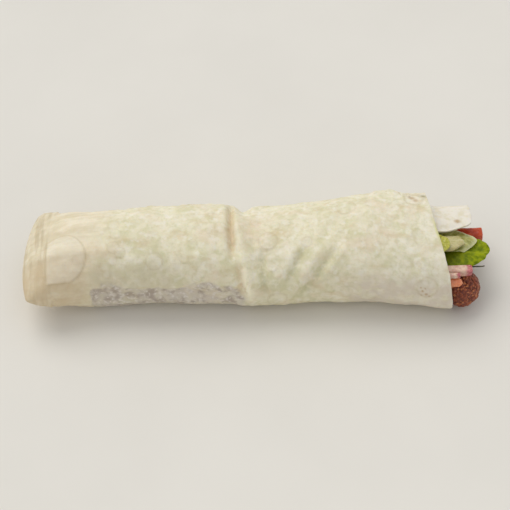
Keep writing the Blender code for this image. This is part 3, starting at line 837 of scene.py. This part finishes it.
def leaf_shape(profile, rows, columns, thickness, wave, rise=0.0, lobes=0.0):
    """A thin wavy leaf: its shape, then for each point its x, its place across, how far it is from
    the tip and whether it is on the upper face."""
    across = np.linspace(0.0, 1.0, columns)
    place_across, place_up, tip = through(profile, across)
    tip = tip + lobes * (np.abs(np.sin(across * 13.0)) - 0.6)
    few = rows // 4
    inner_share = np.linspace(0.0, 1.0, few, endpoint=False)
    outer_share = np.linspace(0.0, 1.0, rows - few)
    inner_x = FILLING_START_X + (LEAF_DETAIL_X - FILLING_START_X) * inner_share
    hidden = np.broadcast_to(inner_x[:, None], (few, columns))
    shown = LEAF_DETAIL_X + (tip[None, :] - LEAF_DETAIL_X) * outer_share[:, None]
    x = np.concatenate([hidden, shown])
    lift = rise * smooth_step(0.40, 0.85, across)
    inside = smooth_step(108.0, 88.0, x)
    ups = [place_up + lift * deep for deep in inside]
    middle = np.stack([filling_place(row, place_across, up) for row, up in zip(x, ups)])
    normal = np.cross(np.gradient(middle, axis=0), np.gradient(middle, axis=1))
    normal /= np.linalg.norm(normal, axis=2)[:, :, None]
    to_tip = (tip[None, :] - x) / 40.0
    spread = np.broadcast_to(across, x.shape)
    middle = middle + normal * wave(middle, x, spread, to_tip)[:, :, None]
    edge = np.minimum(np.minimum(spread, 1 - spread) * columns * 0.35, to_tip * 20.0)
    half = thickness / 2 * np.sqrt(np.clip(edge, 0.12, 1.0))[:, :, None]
    upper = (middle + normal * half).reshape(-1, 3)
    lower = (middle - normal * half).reshape(-1, 3)
    count = rows * columns
    row = np.arange(rows - 1)[:, None] * columns
    column = np.arange(columns - 1)[None, :]
    a = (row + column).ravel()
    b, c, d = a + 1, a + columns, a + columns + 1
    top = np.stack([a, c, d, b], axis=1)
    bottom = np.stack([a, b, d, c], axis=1) + count
    around_edge = list(range(columns))
    around_edge += [r * columns + columns - 1 for r in range(1, rows)]
    around_edge += [(rows - 1) * columns + k for k in range(columns - 2, -1, -1)]
    around_edge += [r * columns for r in range(rows - 2, 0, -1)]
    first = np.array(around_edge)
    second = np.roll(first, -1)
    sides = np.stack([first, second, second + count, first + count], axis=1)
    shape = (np.vstack([upper, lower]), np.concatenate([top, bottom, sides]).tolist())
    on_both = [np.tile(values.ravel(), 2) for values in (x, spread, to_tip)]
    return shape, *on_both, np.repeat([1.0, 0.0], count)


def vein_pattern(along, across, centre, apart, lean, side_strength=1.0):
    """Strength of a midrib and its slanting side veins, which are a distance apart along it."""
    off = across - centre
    midrib = bell(off, 0.0, 0.022)
    phase = (along - np.abs(off) * lean) / apart
    side = bell((phase - np.round(phase)) * apart, 0.0, 0.55) * smooth_step(0.02, 0.08, np.abs(off))
    return midrib, side_strength * side


def leaf_piece(name, leaf, veins, tip_scale, material, node):
    """One leaf as a piece, marked with its veins, its tip and which of its faces is the upper one.

    The veins are given as vein_pattern takes them: centre, distance apart, lean and strength.
    """
    shape, x, across, to_tip, side = leaf
    midrib, side_veins = vein_pattern(x, across, *veins)
    tip = np.clip(1 - to_tip * tip_scale, 0, 1)
    marks = {"vein": np.clip(midrib + side_veins, 0, 1), "tip": tip, "side": side}
    mesh_piece(name, shape, material, node, marks)


def green_leaf():
    veins = (0.30, 4.6, 34.0, 0.6)

    def wave(middle, x, across, to_tip):
        past_mouth = smooth_step(120.0, 146.0, x)
        wide = (0.25 + 0.7 * past_mouth) * np.sin(x / 5.5 + 9 * across) * smooth_step(0.62, 0.5, across)
        midrib, side = vein_pattern(x, across, *veins[:3])
        quilt = 0.28 * noise(middle, 2.6, 70) + 0.12 * noise(middle, 1.1, 71)
        ruffle = 0.8 * smooth_step(0.16, 0.0, to_tip) * noise(middle, 3.2, 72)
        return wide + past_mouth * (quilt - 0.30 * midrib - 0.16 * side + ruffle)

    leaf = leaf_shape(GREEN_LEAF, 190, 96, 0.75, wave, lobes=1.3)
    leaf_piece("green_leaf", leaf, veins, 1, leaf_material(), "lettuce_green")


def pale_leaf():
    def wave(middle, x, across, to_tip):
        wide = (0.2 + 0.5 * smooth_step(130.0, 146.0, x)) * np.sin(x / 6.5 - 7 * across)
        past_mouth = smooth_step(118.0, 140.0, x)
        curl = 1.4 * smooth_step(0.10, 0.0, to_tip) * smooth_step(0.5, 0.3, across)
        return wide + past_mouth * (0.22 * noise(middle, 3.0, 80) + 0.1 * noise(middle, 1.2, 81)) - curl

    leaf = leaf_shape(PALE_LEAF, 150, 84, 0.8, wave, PALE_LEAF_RISE)
    veins = (0.42, 5.5, 30.0)
    leaf_piece("pale_leaf", leaf, veins, 4, pale_material(), "lettuce_pale")


def frill_leaf():
    def wave(middle, x, across, to_tip):
        wide = 0.9 * np.sin(x / 2.2) * np.cos(8 * across)
        return 0.75 * wide + 0.5 * noise(middle, 1.8, 90) * smooth_step(100.0, 116.0, x)

    leaf = leaf_shape(FRILL_LEAF, 150, 90, 0.7, wave)
    veins = (0.55, 2.4, 12.0)
    leaf_piece("frill_leaf", leaf, veins, 1, frill_material(), "lettuce_frill")


def rib():
    """The thick midrib of a lettuce leaf, with fibres along it, cut on a slant."""
    x = np.concatenate([np.linspace(RIB_START_X, 112.0, 14), np.linspace(114.0, RIB_END_X, 70)])
    front = -0.42 + 0.16 * smooth_step(126.0, RIB_END_X + 2, x)
    back = -0.09 - 0.09 * smooth_step(133.0, RIB_END_X, x)
    middle = filling_place(x, (front + back) / 2, 0.775)
    half_width = (filling_place(x, back, 0.775) - filling_place(x, front, 0.775))[:, 1] / 2
    edge = 0.55 + 0.45 * np.sqrt(np.clip((RIB_END_X - x) / 0.9, 0.0, 1.0))
    half = np.column_stack([half_width, np.full(len(x), RIB_THICKNESS / 2) * edge])
    points, normals = log_points(middle, half, 3.2, 72)
    turn = np.arange(72) / 72 * 2 * np.pi
    fibres = 0.10 * np.sin(14 * turn)[None, :] + 0.05 * np.sin(31 * turn + 1.0)[None, :]
    height = (fibres + 0.16 * noise(points, 3.5, 95)) * smooth_step(108.0, 118.0, points[..., 0])
    points = points + normals * height[..., None]
    marks = {"tone": with_ends(0.5 + 0.5 * noise(points * np.array([0.25, 1, 1]), 1.4, 96))}
    mesh_piece("lettuce_midrib", log_shape(points), rib_material(), "lettuce_rib", marks)


def cut_piece(name, size, squareness, columns, unevenness, seed, rough, look, dome=0.6):
    """A stick of vegetable along X: the solid's form with softer ends and a fine surface."""
    material, node, slot = look
    start, end, y, z, width, height = size
    share = np.array([0.0, 0.012, 0.05, 0.3, 0.55, 0.8, 0.94, 0.988, 1.0])
    rounding = np.array([0.72, 0.9, 1.0, 1.0, 1.0, 1.0, 1.0, 0.93, 0.8])
    random = np.random.default_rng(seed)
    sway = unevenness * random.uniform(-1, 1, (len(share), 2))
    middle_steps = np.linspace(0.07, 0.93, 60)
    fine = np.concatenate([np.linspace(0, 0.05, 8), middle_steps, np.linspace(0.945, 1.0, 22)])
    x = start + (end - start) * fine
    sway_y, sway_z = np.interp(fine, share, sway[:, 0]), np.interp(fine, share, sway[:, 1])
    scale = np.interp(fine, share, rounding)
    scale = scale * np.sqrt(np.clip(1 - ((x - end + dome) / (1.1 * dome)).clip(0) ** 2, 0.1, 1))
    centres = np.column_stack([x, y + sway_y, z + sway_z])
    half = np.column_stack([width / 2 * scale, height / 2 * scale])
    points, normals = log_points(centres, half, squareness, columns)
    fine_bumps = rough * (noise(points, 1.6, seed + 100) + 0.5 * noise(points, 0.8, seed + 101))
    points = points + normals * fine_bumps[..., None]
    skin = min(5.5, width)
    ragged_x = points[..., 0] + 1.2 * noise(points, 1.8, seed + 102)
    end_mark = smooth_step(end - skin, end - 0.5 * skin, ragged_x)
    height_mark = np.clip((points[..., 2] - z) / height + 0.5, 0, 1)
    marks = {"end": with_ends(end_mark, 0, 1), "height": with_ends(height_mark, 0.5, 0.5)}
    mesh_piece(name, log_shape(points), material, node, marks)


def cut_pieces():
    radish = radish_material()
    cut_piece("radish_stick_long", RADISH_LONG, 5.0, 64, 0.15, 3, 0.10, (radish, "radish_long", "radish"))
    cut_piece("radish_stick_short", RADISH_SHORT, 4.0, 48, 0.1, 4, 0.08, (radish, "radish_short", "radish"))
    front = (tomato_flesh_material(), "tomato_front", "tomato_flesh")
    cut_piece("tomato_cut_front", TOMATO_FRONT, 2.1, 56, 0.1, 5, 0.22, front, dome=4.4)
    back = (tomato_skin_material(), "tomato_back", "tomato_red")
    cut_piece("tomato_wedge_back", TOMATO_BACK, 2.8, 72, 0.3, 6, 0.14, back)
    cut_piece("herb_stalk", STEM, 2.0, 20, 0.25, 8, 0.03, (stem_material(), "herb_stem", "stem"))


def salad():
    """The bundle of lettuce: pleated leaves pressed together, crumpled at the mouth."""
    x = np.concatenate([np.linspace(FILLING_START_X, 88.0, 30), np.linspace(90.0, SALAD_END_X - 0.8, 90)])
    ends = np.minimum(x - x[0], x[-1] - x)
    taper = 0.62 + 0.38 * smooth_step(0.0, 7.0, ends)
    at_mouth = smooth_step(86.0, 103.0, x)
    place = [low + (high - low) * at_mouth for low, high in zip(SALAD_PLACE, SALAD_MOUTH_PLACE)]
    reach = [low + (high - low) * at_mouth for low, high in zip(SALAD_HALF_SIZE, SALAD_MOUTH_HALF_SIZE)]
    middle, half = log_in_filling(x, place, reach, taper)
    points, normals = log_points(middle, half, 2.3, 200)
    turn = np.arange(200) / 200 * 2 * np.pi
    along = x[:, None]
    pleats = np.sin(5 * turn + along / 23.0) + 0.6 * np.sin(7 * turn - along / 9.0)
    sharp = 0.5 * np.abs(np.sin(13 * turn + 2.0 * noise(points, 12.0, 110)))
    height = 0.48 * pleats - 0.6 + sharp + 0.5 * noise(points, 2.2, 111)
    points = points + normals * height[..., None]
    tone = with_ends(0.5 + 0.5 * noise(points * np.array([0.5, 1, 1]), 4.0, 112), 0.5, 0.2)
    vein = with_ends(bell(np.sin(9 * turn) + noise(points, 5.0, 113), 0.0, 0.12))
    marks = {"tone": tone, "vein": vein}
    mesh_piece("salad_bundle", log_shape(points), salad_material(), "salad", marks)


# ---- Materials ----


class Look:
    """Short calls for building one node material."""

    def __init__(self, name):
        self.material = bpy.data.materials.new(name)
        self.material.use_nodes = True
        self.tree = self.material.node_tree
        self.shader = self.tree.nodes["Principled BSDF"]

    def feed(self, socket, value):
        """Gives a socket a constant, or links it to another socket."""
        if isinstance(value, bpy.types.NodeSocket):
            self.tree.links.new(value, socket)
        else:
            socket.default_value = value

    def texture(self, kind, stretch=(1.0, 1.0, 1.0), **inputs):
        """A texture on the object's own coordinates in millimetres, stretched on each axis."""
        coordinates = self.tree.nodes.new("ShaderNodeTexCoord")
        mapping = self.tree.nodes.new("ShaderNodeMapping")
        mapping.inputs["Scale"].default_value = [axis / MM for axis in stretch]
        self.feed(mapping.inputs["Vector"], coordinates.outputs["Object"])
        node = self.tree.nodes.new(kind)
        self.feed(node.inputs["Vector"], mapping.outputs["Vector"])
        for name, value in inputs.items():
            node.inputs[name].default_value = value
        return node

    def noise(self, cell, detail=3.0, stretch=(1.0, 1.0, 1.0), distortion=0.0):
        inputs = {"Scale": 1.0 / cell, "Detail": detail, "Distortion": distortion}
        return self.texture("ShaderNodeTexNoise", stretch, **inputs).outputs["Fac"]

    def cells(self, size):
        return self.texture("ShaderNodeTexVoronoi", Scale=1.0 / size).outputs["Distance"]

    def mark(self, name):
        node = self.tree.nodes.new("ShaderNodeAttribute")
        node.attribute_name = name
        return node.outputs["Fac"]

    def ramp(self, source, low, high, least=0.0, most=1.0):
        """Eases from the least value to the most as the source goes from low to high."""
        node = self.tree.nodes.new("ShaderNodeMapRange")
        node.interpolation_type = "SMOOTHSTEP"
        self.feed(node.inputs["Value"], source)
        limits = {"From Min": low, "From Max": high, "To Min": least, "To Max": most}
        for name, value in limits.items():
            node.inputs[name].default_value = value
        return node.outputs["Result"]

    def patches(self, cell, low, high, least=0.0, most=1.0, **shape):
        """Soft-edged patches where the noise is high."""
        return self.ramp(self.noise(cell, **shape), low, high, least, most)

    def math(self, operation, first, second):
        node = self.tree.nodes.new("ShaderNodeMath")
        node.operation = operation
        self.feed(node.inputs[0], first)
        self.feed(node.inputs[1], second)
        return node.outputs["Value"]

    def times(self, first, second):
        return self.math("MULTIPLY", first, second)

    def plus(self, first, second):
        return self.math("ADD", first, second)

    def at(self, mark, amount):
        """An amount only where the mark is."""
        return self.times(self.mark(mark), amount)

    def mix(self, factor, first, second):
        """A colour between two, each given as sRGB numbers or as a socket."""
        node = self.tree.nodes.new("ShaderNodeMix")
        node.data_type = "RGBA"
        self.feed(node.inputs["Factor"], factor)
        for socket, value in zip((node.inputs[6], node.inputs[7]), (first, second)):
            self.feed(socket, linear(value) if isinstance(value, tuple) else value)
        return node.outputs[2]

    def bump(self, height, strength, distance_mm):
        node = self.tree.nodes.new("ShaderNodeBump")
        node.inputs["Strength"].default_value = strength
        node.inputs["Distance"].default_value = distance_mm * MM
        self.feed(node.inputs["Height"], height)
        self.feed(self.shader.inputs["Normal"], node.outputs["Normal"])

    def finish(self, colour, roughness, soft=0.0, soft_mm=1.0, coat=0.0, shine=0.5):
        self.feed(self.shader.inputs["Base Color"], colour)
        self.feed(self.shader.inputs["Roughness"], roughness)
        self.shader.inputs["Specular IOR Level"].default_value = shine
        if soft:
            self.shader.inputs["Subsurface Weight"].default_value = soft
            self.shader.inputs["Subsurface Radius"].default_value = (1.0, 0.7, 0.4)
            self.shader.inputs["Subsurface Scale"].default_value = soft_mm * MM
        if coat:
            self.shader.inputs["Coat Weight"].default_value = coat
            self.shader.inputs["Coat Roughness"].default_value = 0.15
        return self.material


def linear(srgb):
    """An sRGB colour given from 0 to 255, as linear RGBA."""
    share = np.array(srgb) / 255.0
    value = np.where(share <= 0.04045, share / 12.92, ((share + 0.055) / 1.055) ** 2.4)
    return (*value.tolist(), 1.0)


def lavash_material():
    look = Look("lavash_dough")
    end_streaks = look.patches(5.0, 0.35, 0.65, detail=4.0, stretch=(0.10, 1.0, 1.0))
    end_tone = look.mix(end_streaks, (239, 227, 201), (221, 206, 175))
    tuck_streaks = look.patches(2.6, 0.38, 0.66, 0.15, 0.75, stretch=(1.0, 0.12, 0.12))
    uneven_edge = look.plus(look.mark("band"), look.times(look.noise(7.0), 0.9))
    turned = look.ramp(uneven_edge, 0.72, 1.2)
    dark_mottles = look.patches(6.0, 0.46, 0.66, most=0.7, detail=4.0, distortion=0.4)
    inner_ply = look.mix(look.patches(5.0, 0.42, 0.66), (236, 229, 214), (226, 217, 192))
    layers = (
        # the mouth, a soft shade, green, pink and tan casts, and flour over the whole sheet
        (look.at("mouth", 0.6), (242, 236, 219)),
        (look.patches(15.0, 0.36, 0.66, most=0.4, detail=2.0), (221, 212, 180)),
        (look.patches(8.0, 0.42, 0.70, most=0.7, distortion=0.5), (213, 208, 166)),
        (look.patches(2.8, 0.46, 0.70, most=0.38), (206, 200, 158)),
        (look.patches(22.0, 0.50, 0.72, most=0.5, stretch=(1.0, 1.2, 1.4)), (230, 211, 184)),
        (look.patches(10.0, 0.52, 0.72, most=0.5, detail=4.0, stretch=(0.6, 1.2, 1.2)), (212, 192, 152)),
        (look.patches(5.0, 0.50, 0.70, most=0.6, detail=4.0), (243, 237, 220)),
        # the closed end and the lower side, with painted shade on the lower half of the end, on the lower
        # side near it and, in part, on the lower front
        (look.at("end", 0.75), end_tone),
        (look.at("tuck", tuck_streaks), (200, 184, 150)),
        (look.at("rosy_low_shade", look.patches(8.0, 0.35, 0.62, 0.2, 0.75)), (219, 206, 191)),
        (look.at("lower_end_shade", look.patches(9.0, 0.3, 0.7, 0.3, 0.75)), (206, 184, 148)),
        (look.at("low_side_shade", look.patches(7.0, 0.3, 0.7, 0.35, 0.8)), (206, 196, 166)),
        # the strip that turns under: a grey tint and dark mottles, partly painted shade of the side facing
        # down, with chalky spots
        (look.times(turned, look.patches(12.0, 0.36, 0.62, 0.35, 0.75, detail=2.0)), (202, 192, 182)),
        (look.times(turned, dark_mottles), (164, 148, 133)),
        (look.times(turned, look.patches(2.6, 0.51, 0.67, most=0.65)), (230, 222, 213)),
        # folds, blisters and their rims: painted shade in the crease valleys and grooves, a painted
        # highlight on the ridge, a painted shadow line just outside the raised rims, and pale blister
        # insides
        (look.at("crease_shade", look.patches(3.4, 0.32, 0.62, 0.15, 0.6)), (210, 180, 140)),
        (look.at("blush", look.patches(5.0, 0.36, 0.6, 0.15, 0.55)), (230, 208, 180)),
        (look.at("groove_shade", look.patches(3.0, 0.3, 0.62, 0.1, 0.5)), (192, 190, 150)),
        (look.at("light", look.patches(3.2, 0.34, 0.58, 0.35, 1.0)), (252, 244, 216)),
        (look.at("rim", 0.36), (188, 170, 132)),
        (look.at("pale", 0.6), (238, 231, 214)),
        # the inner ply, toasted spots, the tint of the leaves inside and the deep lining
        (look.mark("inside"), inner_ply),
        (look.ramp(look.mark("toast"), 0.05, 1.0, most=0.75), (182, 148, 98)),
        (look.at("moss", 0.8), (138, 126, 74)),
        (look.at("leafy", 0.6), (204, 204, 96)),
        (look.at("deep", 0.6), (190, 178, 120)),
    )
    colour = look.mix(look.patches(24.0, 0.36, 0.64, detail=2.0), (240, 232, 207), (234, 227, 197))
    for factor, tone in layers:
        colour = look.mix(factor, colour, tone)
    grain = look.plus(look.noise(1.0, 4.0), look.times(look.noise(0.35, 2.0), 0.4))
    look.bump(grain, 0.6, 0.35)
    return look.finish(colour, look.patches(3.0, 0.3, 0.7, 0.62, 0.84), soft=0.12, soft_mm=1.4)


def kofte_material():
    look = Look("kofte_paste")
    colour = look.mix(look.ramp(look.mark("tone"), 0.25, 0.75), (104, 42, 20), (156, 74, 38))
    colour = look.mix(look.ramp(look.cells(1.1), 0.15, 0.5), (176, 92, 50), colour)
    # painted shade: the cracks are darkened
    colour = look.mix(look.mark("crack_shade"), colour, (60, 22, 14))
    look.bump(look.plus(look.cells(0.9), look.noise(0.5)), 0.6, 0.35)
    return look.finish(colour, look.patches(1.5, 0.3, 0.7, 0.35, 0.62), soft=0.08, coat=0.12)


def grain_material():
    look = Look("kofte_grain")
    colour = look.mix(look.ramp(look.mark("tone"), 0.0, 0.75), (100, 38, 18), (164, 82, 42))
    colour = look.mix(look.ramp(look.mark("tone"), 0.78, 0.98), colour, (206, 130, 74))
    colour = look.mix(look.patches(1.2, 0.4, 0.7, most=0.5, detail=2.0), colour, (112, 44, 26))
    look.bump(look.noise(0.3, 2.0), 0.4, 0.1)
    roughness = look.patches(0.8, 0.3, 0.7, 0.3, 0.55, detail=2.0)
    return look.finish(colour, roughness, soft=0.1, soft_mm=0.6, coat=0.15)


def leaf_colours(look, dark, bright, vein, underside):
    """The shared build of a leaf's colour: mottled blade, pale veins and a duller underside."""
    blade = look.mix(look.patches(4.0, 0.35, 0.65), dark, bright)
    blade = look.mix(look.patches(0.9, 0.45, 0.7, most=0.35), blade, bright)
    blade = look.mix(look.at("vein", 0.5), blade, vein)
    return look.mix(look.mark("side"), underside, blade)


def leaf_material():
    look = Look("lettuce_green_leaf")
    blade = leaf_colours(look, (92, 112, 0), (146, 157, 4), (172, 180, 44), (130, 142, 34))
    # painted shade: the leaf darkens away from its tip, deeper into the wrap
    colour = look.mix(look.ramp(look.mark("tip"), 0.15, 0.9), (88, 96, 8), blade)
    look.bump(look.plus(look.noise(0.9), look.at("vein", -0.6)), 0.5, 0.3)
    return look.finish(colour, look.patches(2.0, 0.3, 0.7, 0.36, 0.58), soft=0.12, soft_mm=1.2, shine=0.12)


def pale_material():
    look = Look("lettuce_pale_leaf")
    blade = leaf_colours(look, (138, 138, 56), (178, 176, 98), (210, 208, 152), (170, 170, 96))
    colour = look.mix(look.ramp(look.mark("tip"), 0.55, 1.0, most=0.75), blade, (222, 220, 172))
    look.bump(look.noise(0.8), 0.35, 0.25)
    return look.finish(colour, look.patches(2.0, 0.3, 0.7, 0.22, 0.45), soft=0.25, soft_mm=1.8, coat=0.2)


def frill_material():
    look = Look("lettuce_heart_leaf")
    colour = leaf_colours(look, (152, 150, 30), (196, 192, 62), (214, 210, 110), (186, 182, 72))
    look.bump(look.noise(0.7), 0.4, 0.25)
    return look.finish(colour, look.patches(1.6, 0.3, 0.7, 0.3, 0.5), soft=0.2, soft_mm=1.5, coat=0.12)


def rib_material():
    look = Look("lettuce_midrib")
    colour = look.mix(look.ramp(look.mark("tone"), 0.2, 0.8), (182, 170, 110), (204, 194, 142))
    streak = look.patches(0.9, 0.5, 0.7, most=0.5, detail=2.0, stretch=(0.12, 1.0, 1.0))
    colour = look.mix(streak, colour, (170, 164, 92))
    look.bump(look.noise(0.7, 2.0, stretch=(0.2, 1.0, 1.0)), 0.35, 0.2)
    roughness = look.patches(1.2, 0.3, 0.7, 0.2, 0.4, detail=2.0)
    return look.finish(colour, roughness, soft=0.3, soft_mm=2.0, coat=0.3)


def radish_material():
    look = Look("radish")
    flesh = look.mix(look.patches(2.2, 0.4, 0.65), (224, 192, 168), (210, 164, 144))
    veins = look.patches(0.8, 0.55, 0.7, most=0.35, stretch=(0.3, 1.0, 1.0))
    flesh = look.mix(veins, flesh, (200, 148, 138))
    skin = look.mix(look.patches(1.6, 0.4, 0.62), (164, 56, 72), (206, 122, 122))
    colour = look.mix(look.at("end", 0.9), flesh, skin)
    look.bump(look.noise(0.6), 0.3, 0.15)
    roughness = look.patches(1.0, 0.3, 0.7, 0.15, 0.35, detail=2.0)
    return look.finish(colour, roughness, soft=0.3, soft_mm=1.6, coat=0.3)


def tomato_flesh_material():
    look = Look("tomato_flesh")
    colour = look.mix(look.patches(1.8, 0.35, 0.65), (214, 98, 58), (236, 136, 84))
    colour = look.mix(look.ramp(look.cells(0.9), 0.1, 0.5, most=0.4), (240, 160, 116), colour)
    look.bump(look.plus(look.noise(0.6), look.cells(0.8)), 0.35, 0.2)
    roughness = look.patches(1.0, 0.3, 0.7, 0.16, 0.34, detail=2.0)
    return look.finish(colour, roughness, soft=0.35, soft_mm=1.6, coat=0.2)


def tomato_skin_material():
    look = Look("tomato_skin")
    colour = look.mix(look.patches(5.0, 0.35, 0.65), (176, 54, 16), (205, 80, 32))
    colour = look.mix(look.ramp(look.mark("height"), 0.75, 0.35, most=0.6), colour, (214, 104, 66))
    colour = look.mix(look.at("end", 0.35), colour, (210, 96, 58))
    look.bump(look.noise(0.7), 0.2, 0.15)
    roughness = look.patches(2.0, 0.3, 0.7, 0.14, 0.32, detail=2.0)
    return look.finish(colour, roughness, soft=0.25, soft_mm=1.6, coat=0.15, shine=0.35)


def stem_material():
    look = Look("herb_stalk")
    colour = look.mix(look.patches(1.5, 0.4, 0.6, detail=2.0), (44, 40, 22), (84, 76, 40))
    return look.finish(colour, look.patches(0.8, 0.3, 0.7, 0.4, 0.6, detail=2.0))


def salad_material():
    look = Look("salad_leaves")
    colour = look.mix(look.ramp(look.mark("tone"), 0.2, 0.8), (92, 110, 26), (160, 168, 62))
    colour = look.mix(look.patches(1.6, 0.5, 0.7, most=0.5), colour, (128, 144, 40))
    colour = look.mix(look.at("vein", 0.55), colour, (196, 200, 140))
    look.bump(look.noise(0.9), 0.5, 0.3)
    return look.finish(colour, look.patches(2.0, 0.3, 0.7, 0.3, 0.55), soft=0.15, soft_mm=1.2, coat=0.12)


def floor_material():
    look = Look("studio_floor")
    colour = look.mix(look.patches(120.0, 0.3, 0.7), (229, 225, 216), (226, 222, 213))
    return look.finish(colour, look.patches(20.0, 0.3, 0.7, 0.85, 0.95, detail=2.0))


# ---- Studio ----

CAMERA_ELEVATION = 50.0
CAMERA_DISTANCE = 1.0
CAMERA_ROLL = 1.9
VIEW_WIDTH = 0.340  # metres across the picture at the wrap
CAMERA_AIM = (-0.0007, -0.0018, 0.0235)


def aimed(thing, place, aim, roll=0.0):
    """Puts a camera or light at a place, looking at another."""
    place, aim = Vector(place), Vector(aim)
    turn = (aim - place).to_track_quat("-Z", "Y").to_matrix().to_4x4()
    thing.matrix_world = Matrix.Translation(place) @ turn @ Matrix.Rotation(math.radians(roll), 4, "Z")
    bpy.context.scene.collection.objects.link(thing)
    return thing


def camera():
    elevation = math.radians(CAMERA_ELEVATION)
    away = Vector((0.0, -math.cos(elevation), math.sin(elevation))) * CAMERA_DISTANCE
    data = bpy.data.cameras.new("camera")
    data.sensor_width = 36.0
    data.lens = data.sensor_width * CAMERA_DISTANCE / VIEW_WIDTH
    aim = Vector(CAMERA_AIM)
    made = aimed(bpy.data.objects.new("camera", data), aim + away, aim, -CAMERA_ROLL)
    bpy.context.scene.camera = made


def sun(name, away, strength, spread, colour):
    """A distant soft light that comes from the direction given."""
    data = bpy.data.lights.new(name, "SUN")
    data.energy = strength
    data.angle = math.radians(spread)
    data.color = colour
    aimed(bpy.data.objects.new(name, data), away, (0.0, 0.0, 0.0))


def studio():
    sun("key", (-0.38, 0.52, 0.95), 1.2, 44.0, (1.0, 0.985, 0.955))
    world = bpy.data.worlds.new("studio")
    world.use_nodes = True
    background = world.node_tree.nodes["Background"]
    background.inputs["Color"].default_value = (0.97, 0.98, 1.0, 1.0)
    background.inputs["Strength"].default_value = 0.66
    bpy.context.scene.world = world
    bpy.context.scene.view_settings.view_transform = "Standard"
    floor_mesh = bpy.data.meshes.new("studio_floor")
    reach = 3.0
    corners = [(-reach, -reach, 0), (reach, -reach, 0), (reach, reach, 0), (-reach, reach, 0)]
    floor_mesh.from_pydata(corners, [], [(0, 1, 2, 3)])
    floor_mesh.materials.append(floor_material())
    floor = bpy.data.objects.new("studio_floor", floor_mesh)
    bpy.context.scene.collection.objects.link(floor)


lavash()
kofte()
salad()
green_leaf()
pale_leaf()
frill_leaf()
rib()
cut_pieces()
studio()
camera()
